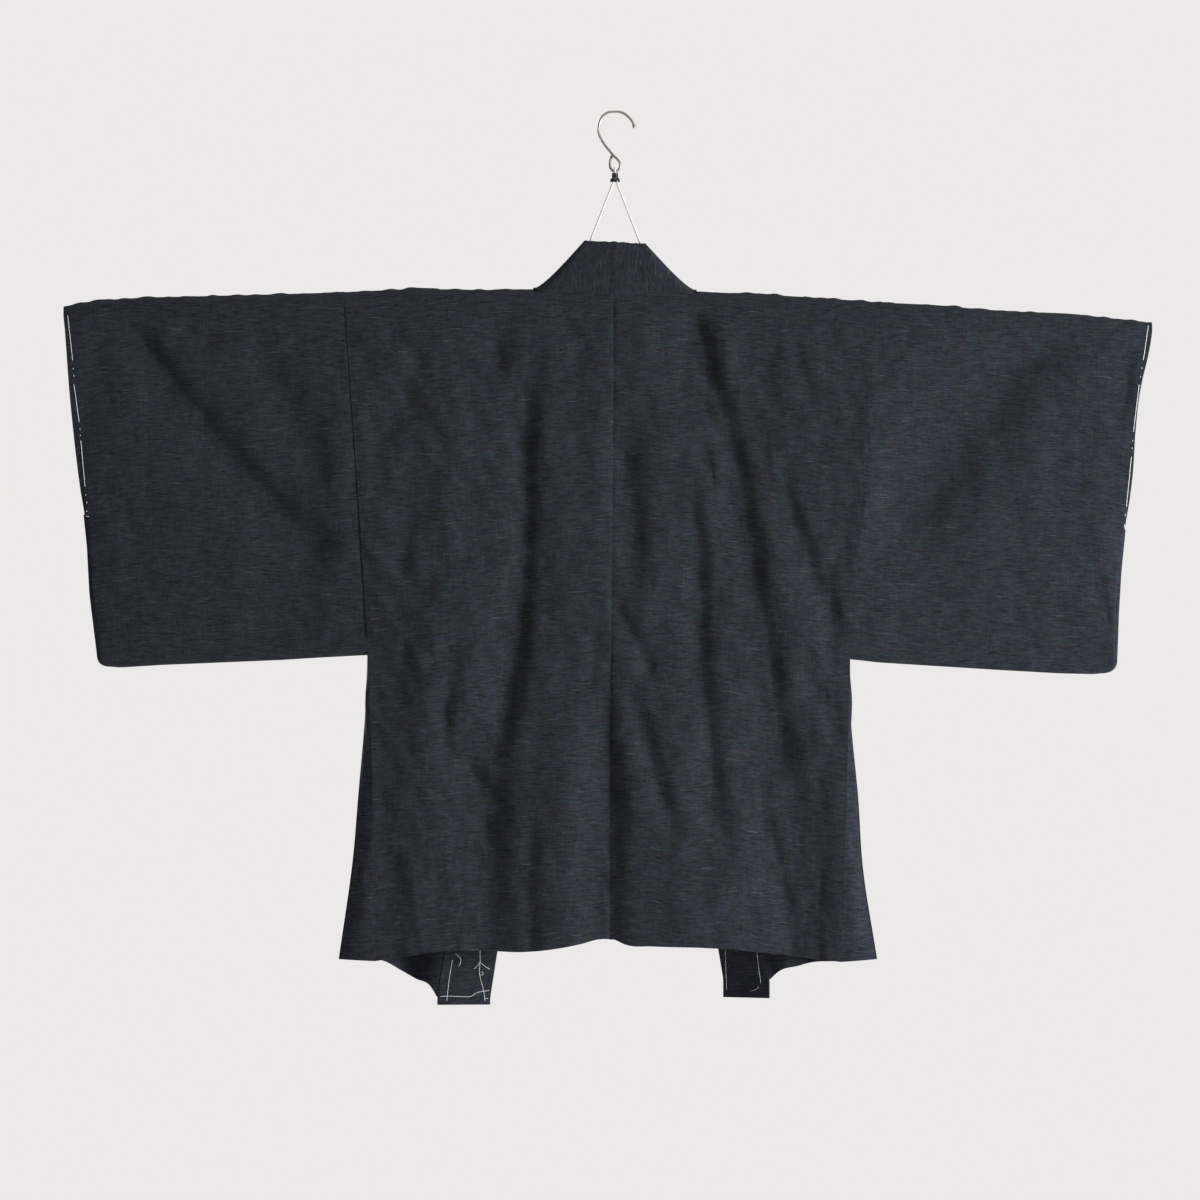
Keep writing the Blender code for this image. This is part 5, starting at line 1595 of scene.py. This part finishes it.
class HAORI_OT_hem_stitches(bpy.types.Operator):
    """Sew the line of small dark stitches that holds the hem's turn-up"""

    bl_idname = "haori.hem_stitches"
    bl_label = "Hem stitches"

    def execute(self, context):
        material = shared("Hem thread", laid_cord, (0.012, 0.012, 0.015), 0.85)
        trees = {side.sign: tree_of("body_cloth_" + side.name) for side in SIDES}
        tubes = []
        for line in HEM_LINES:
            tree = trees[1 if line[1][0] > 0 else -1]
            length = sum(np.hypot(b[0] - a[0], b[1] - a[1]) for a, b in zip(line, line[1:]))
            places = spaced(line, np.arange(2.0, length - 2.0, STITCH_PITCH) / length)
            for x, z in places:
                run = ((x - HALF_STITCH, z), (x + HALF_STITCH, z))
                tubes.append(swept(laid_on(tree, run, 0.05, 0.35), 0.7, 6))
        for run in HEM_THREADS:
            tubes.append(swept(laid_on(trees[-1], run, 0.2, 0.4), 0.8, 6))
        new_piece("hem_stitches", tube_mesh("hem_stitches", tubes), material, None)
        return {"FINISHED"}


def cord_seat(side):
    """Where a leg of the cord meets its arm, and the leg's upper end under the ferrule."""
    foot = np.array([side.sign * CORD_SEAT_X, 0.0, rod_z(side, CORD_SEAT_X) + ROD_RADIUS])
    head = np.array([side.sign * 2.6, 0.0, FERRULE_FOOT - 2.0])
    return foot, head


def cord_route():
    """Up from the left arm, over the hook's eye, down to the right arm."""
    rising = (
        Bend(0, 1.5, FERRULE_TOP - 1.0), Bend(0, 2.9, EYE_FOOT - 1.2),
        Bend(0, 3.2, EYE_FOOT + 0.3), Bend(0, 2.3, EYE_FOOT + 2.5),
    )
    falling = [Bend(0, -bend.y, bend.z) for bend in reversed(rising)]
    over_eye = [*rising, Bend(0, 0, EYE_FOOT + 3.3), *falling]
    # Inside the ferrule the two legs turn a quarter round each other
    inside = [
        Bend(1.5 * sin(turn), 1.5 * cos(turn), FERRULE_TOP - 1.0 - 16.0 * turn / pi)
        for turn in np.linspace(0, pi / 2, 5)[1:]
    ]
    # A leg starts in its hole, and its last points stand closer, as the next ones do
    shares = (-0.02, 0.25, 0.5, 0.75, 0.9, 0.96, 1.0)
    legs = []
    for side in SIDES:
        foot, head = cord_seat(side)
        legs.append([foot + (head - foot) * share for share in shares])
    left_inside = inside[::-1]
    right_inside = [Bend(-bend.x, -bend.y, bend.z) for bend in inside]
    return [*legs[0], *left_inside, *over_eye, *right_inside, *legs[1][::-1]]


class HAORI_OT_hanging_cord(bpy.types.Operator):
    """Lay the hanging cord from arm to arm through the hook's eye"""

    bl_idname = "haori.hanging_cord"
    bl_label = "Hanging cord"

    def execute(self, context):
        diameter = context.scene.haori_sizes.cord / MM
        route = smooth_route(cord_route(), ROUTE_STEP)
        mesh = tube_mesh("hanging_cord", [swept(route, diameter, 18, strands=3, lay=4.2)])
        material = shared("White cord", laid_cord, chosen("cord"), 0.8, 0.8)
        piece = new_piece("hanging_cord", mesh, material, "cord", "hanger_cord")
        length = float(np.linalg.norm(np.diff(route, axis=0), axis=1).sum()) * MM
        return {"FINISHED"}


def edit_all():
    bpy.ops.object.mode_set(mode="EDIT")
    bpy.ops.mesh.select_all(action="SELECT")


def turned(name, rings, vertices):
    """A closed turned piece: each ring of a profile is drawn out from the last one."""
    deselect()
    first = rings[0]
    bpy.ops.mesh.primitive_circle_add(
        vertices=vertices, radius=first.radius * MM, location=(0, 0, first.z * MM)
    )
    obj = bpy.context.object
    obj.name = name
    edit_all()
    for before, after in zip(rings, rings[1:]):
        rise = (0, 0, (after.z - before.z) * MM)
        bpy.ops.mesh.extrude_edges_move(TRANSFORM_OT_translate={"value": rise})
        scale = after.radius / before.radius
        bpy.ops.transform.resize(value=(scale, scale, 1), center_override=(0, 0, after.z * MM))
    bpy.ops.mesh.select_all(action="DESELECT")
    bpy.ops.mesh.select_non_manifold(extend=False)
    bpy.ops.mesh.bridge_edge_loops()
    bpy.ops.mesh.select_all(action="SELECT")
    bpy.ops.mesh.normals_make_consistent(inside=False)
    bpy.ops.object.mode_set(mode="OBJECT")
    bpy.ops.object.transform_apply(location=True)
    bpy.ops.object.shade_smooth_by_angle(angle=radians(38))
    return obj


class HAORI_OT_ferrule(bpy.types.Operator):
    """Turn the black stopper that holds the cord's two legs together"""

    bl_idname = "haori.ferrule"
    bl_label = "Cord stopper"

    def execute(self, context):
        flare = FERRULE_BELL - FERRULE_RADIUS
        rings = (
            Ring(FERRULE_RADIUS - 0.35, FERRULE_TOP),
            Ring(FERRULE_RADIUS - 0.1, FERRULE_TOP - 0.1),
            Ring(FERRULE_RADIUS, FERRULE_TOP - 0.4),
            Ring(FERRULE_RADIUS, FERRULE_TOP - 2.2),
            Ring(FERRULE_RADIUS - 0.25, FERRULE_TOP - 2.6),
            Ring(FERRULE_RADIUS - 0.25, FERRULE_TOP - 3.2),
            Ring(FERRULE_RADIUS, FERRULE_TOP - 3.6),
            Ring(FERRULE_RADIUS, FERRULE_SHOULDER),
            Ring(FERRULE_RADIUS + flare * 0.18, FERRULE_SHOULDER - 0.35),
            Ring(FERRULE_RADIUS + flare * 0.5, FERRULE_SHOULDER - 0.95),
            Ring(FERRULE_RADIUS + flare * 0.8, FERRULE_SHOULDER - 1.75),
            Ring(FERRULE_BELL - 0.12, FERRULE_SHOULDER - 2.7),
            Ring(FERRULE_BELL, FERRULE_FOOT + 0.7),
            Ring(FERRULE_BELL - 0.14, FERRULE_FOOT + 0.2),
            Ring(FERRULE_BELL - 0.5, FERRULE_FOOT),
            Ring(FERRULE_BORE + 1.6, FERRULE_FOOT),
            Ring(FERRULE_BORE + 0.7, FERRULE_FOOT + 0.7),
            Ring(FERRULE_BORE, FERRULE_FOOT + 2.4),
            Ring(FERRULE_BORE, FERRULE_TOP - 1.2),
            Ring(FERRULE_BORE + 0.35, FERRULE_TOP),
        )
        obj = turned("cord_stopper", rings, 48)
        dressed(obj, black_stopper(), "ferrule", "cord_ferrule")
        return {"FINISHED"}


def drawn_wire(name, route, diameter, resolution):
    """A wire bent along a route, drawn as a path and turned into a mesh with closed ends."""
    deselect()
    bpy.ops.curve.primitive_nurbs_path_add(location=(0, 0, 0))
    obj = bpy.context.object
    obj.name = name
    curve = obj.data
    curve.splines.clear()
    spline = curve.splines.new("POLY")
    spline.points.add(len(route) - 1)
    spline.points.foreach_set("co", np.c_[route * MM, np.ones(len(route))].ravel())
    curve.bevel_depth = diameter / 2 * MM
    curve.bevel_resolution = resolution
    curve.use_fill_caps = True
    bpy.ops.object.convert(target="MESH")
    edit_all()
    bpy.ops.mesh.remove_doubles(threshold=1e-6)
    bpy.ops.mesh.normals_make_consistent(inside=False)
    bpy.ops.object.mode_set(mode="OBJECT")
    bpy.ops.object.shade_smooth_by_angle(angle=radians(50))
    return bpy.context.object


class HAORI_OT_hook(bpy.types.Operator):
    """Bend the hook: a ball tip, an arc over the rail, a stem and an eye for the cord"""

    bl_idname = "haori.hook"
    bl_label = "Hook"

    def execute(self, context):
        sizes = context.scene.haori_sizes
        arc = (
            Bend(-23, 0, -15.4), Bend(-20, 0, -8.6), Bend(-12.5, 0, -1), Bend(-6, 0, 1.9),
            Bend(0, 0, 2.4), Bend(8.5, 0, 1.2), Bend(16.4, 0, -5.5), Bend(19.8, 0, -19),
            Bend(18.2, 0, -27.5), Bend(12.9, 0, -37), Bend(6.6, 0, -44.8), Bend(2.4, 0.4, -50),
        )
        eye = (
            Bend(-3.0, 0.9, -55.2), Bend(-6.2, 0.8, -60.4), Bend(-5.6, 0.4, -65),
            Bend(-3.2, 0, -68.2), Bend(0, 0, EYE_FOOT), Bend(3.2, -0.2, -68.2),
            Bend(5.6, -0.9, -65), Bend(6.2, -1.8, -60.4), Bend(5.2, -2.7, -55.4),
            Bend(4.0, -3.2, -51.4), Bend(3.4, -3.3, -48.4),
        )
        route = smooth_route([*arc, *eye], ROUTE_STEP)
        wire = drawn_wire("hook_wire", route, sizes.wire / MM, 6)
        deselect()
        bpy.ops.mesh.primitive_uv_sphere_add(
            segments=32, ring_count=20, radius=sizes.ball / 2, location=tuple(route[0] * MM)
        )
        ball = context.object
        bpy.ops.object.transform_apply(location=True)
        bpy.ops.object.shade_smooth()
        apply_modifier(wire, "BOOLEAN", object=ball, operation="UNION", solver="EXACT")
        bpy.data.objects.remove(ball)
        select_only(wire)
        bpy.ops.object.shade_smooth_by_angle(angle=radians(50))
        dressed(wire, drawn_steel(), "hook_steel", "hook")
        return {"FINISHED"}


def turned_arm(side):
    """A round arm with a rounded tip, drilled on top for the cord."""
    start = Vector((side.sign * (HUB_HALF + SEAM), 0, rod_z(side, HUB_HALF + SEAM))) * MM
    end = Vector((side.sign * side.rod_end, 0, rod_z(side, side.rod_end))) * MM
    lie = (end - start).to_track_quat("Z", "Y").to_euler()
    deselect()
    bpy.ops.mesh.primitive_cylinder_add(
        vertices=48, radius=ROD_RADIUS * MM, depth=(end - start).length,
        location=(start + end) / 2, rotation=lie,
    )
    arm = bpy.context.object
    arm.name = "rod_arm_" + side.name
    bpy.ops.object.transform_apply(location=True, rotation=True)
    apply_modifier(
        arm, "BEVEL", width=TIP_ROUND * MM, segments=3, limit_method="ANGLE",
        angle_limit=radians(40),
    )
    foot, head = cord_seat(side)
    leg = Vector(head - foot).normalized()
    deselect()
    bpy.ops.mesh.primitive_cylinder_add(
        vertices=24, radius=(bpy.context.scene.haori_sizes.cord / 2 + SEAM * MM),
        depth=4 * CORD_HOLE_DEPTH * MM, location=(Vector(foot) + leg * CORD_HOLE_DEPTH) * MM,
        rotation=leg.to_track_quat("Z", "Y").to_euler(),
    )
    drill = bpy.context.object
    apply_modifier(arm, "BOOLEAN", object=drill, operation="DIFFERENCE", solver="EXACT")
    bpy.data.objects.remove(drill)
    select_only(arm)
    bpy.ops.object.shade_smooth_by_angle(angle=radians(35))
    return arm


class HAORI_OT_rod(bpy.types.Operator):
    """Turn the rod's two arms and the joint between them"""

    bl_idname = "haori.rod"
    bl_label = "Rod"

    def execute(self, context):
        material = lacquered_wood()
        for side in SIDES:
            dressed(turned_arm(side), material, "rod", "hanger_arm_" + side.name)
        left, right = (
            [(side.sign * x, 0, rod_z(side, x)) for x in (HUB_HALF, HUB_BEND)] for side in SIDES
        )
        route = smooth_route([*left, (0, 0, ROD_TOP_CENTRE - 0.1), *right[::-1]], 3.0)
        hub = drawn_wire("rod_joint", route, 2 * ROD_RADIUS, 14)
        dressed(hub, material, "rod", "hanger_hub")
        return {"FINISHED"}


# In the order in which they are made
PIECES = (
    HAORI_OT_stage,
    HAORI_OT_hanging_cord,
    HAORI_OT_body,
    HAORI_OT_sleeves,
    HAORI_OT_gussets,
    HAORI_OT_collar,
    HAORI_OT_front_loops,
    HAORI_OT_basting,
    HAORI_OT_hem_stitches,
    HAORI_OT_rod,
    HAORI_OT_ferrule,
    HAORI_OT_hook,
)


class HAORI_PT_panel(bpy.types.Panel):
    """Lists the sizes, the colours and the pieces"""

    bl_idname = "HAORI_PT_panel"
    bl_label = "Haori Jacket"
    bl_space_type = "VIEW_3D"
    bl_region_type = "UI"
    bl_category = "Haori"

    def draw(self, context):
        layout = self.layout
        for group in (context.scene.haori_sizes, context.scene.haori_colours):
            box = layout.box()
            for key in group.__annotations__:
                box.prop(group, key)
        for piece in PIECES:
            layout.operator(piece.bl_idname)


CLASSES = (HaoriSizes, HaoriColours, *PIECES, HAORI_PT_panel)


def register():
    for cls in CLASSES:
        bpy.utils.register_class(cls)
    bpy.types.Scene.haori_sizes = PointerProperty(type=HaoriSizes)
    bpy.types.Scene.haori_colours = PointerProperty(type=HaoriColours)


def unregister():
    del bpy.types.Scene.haori_colours
    del bpy.types.Scene.haori_sizes
    for cls in reversed(CLASSES):
        bpy.utils.unregister_class(cls)


def main():
    register()
    for piece in PIECES:
        group, name = piece.bl_idname.split(".")
        getattr(getattr(bpy.ops, group), name)()


if __name__ == "__main__":
    main()
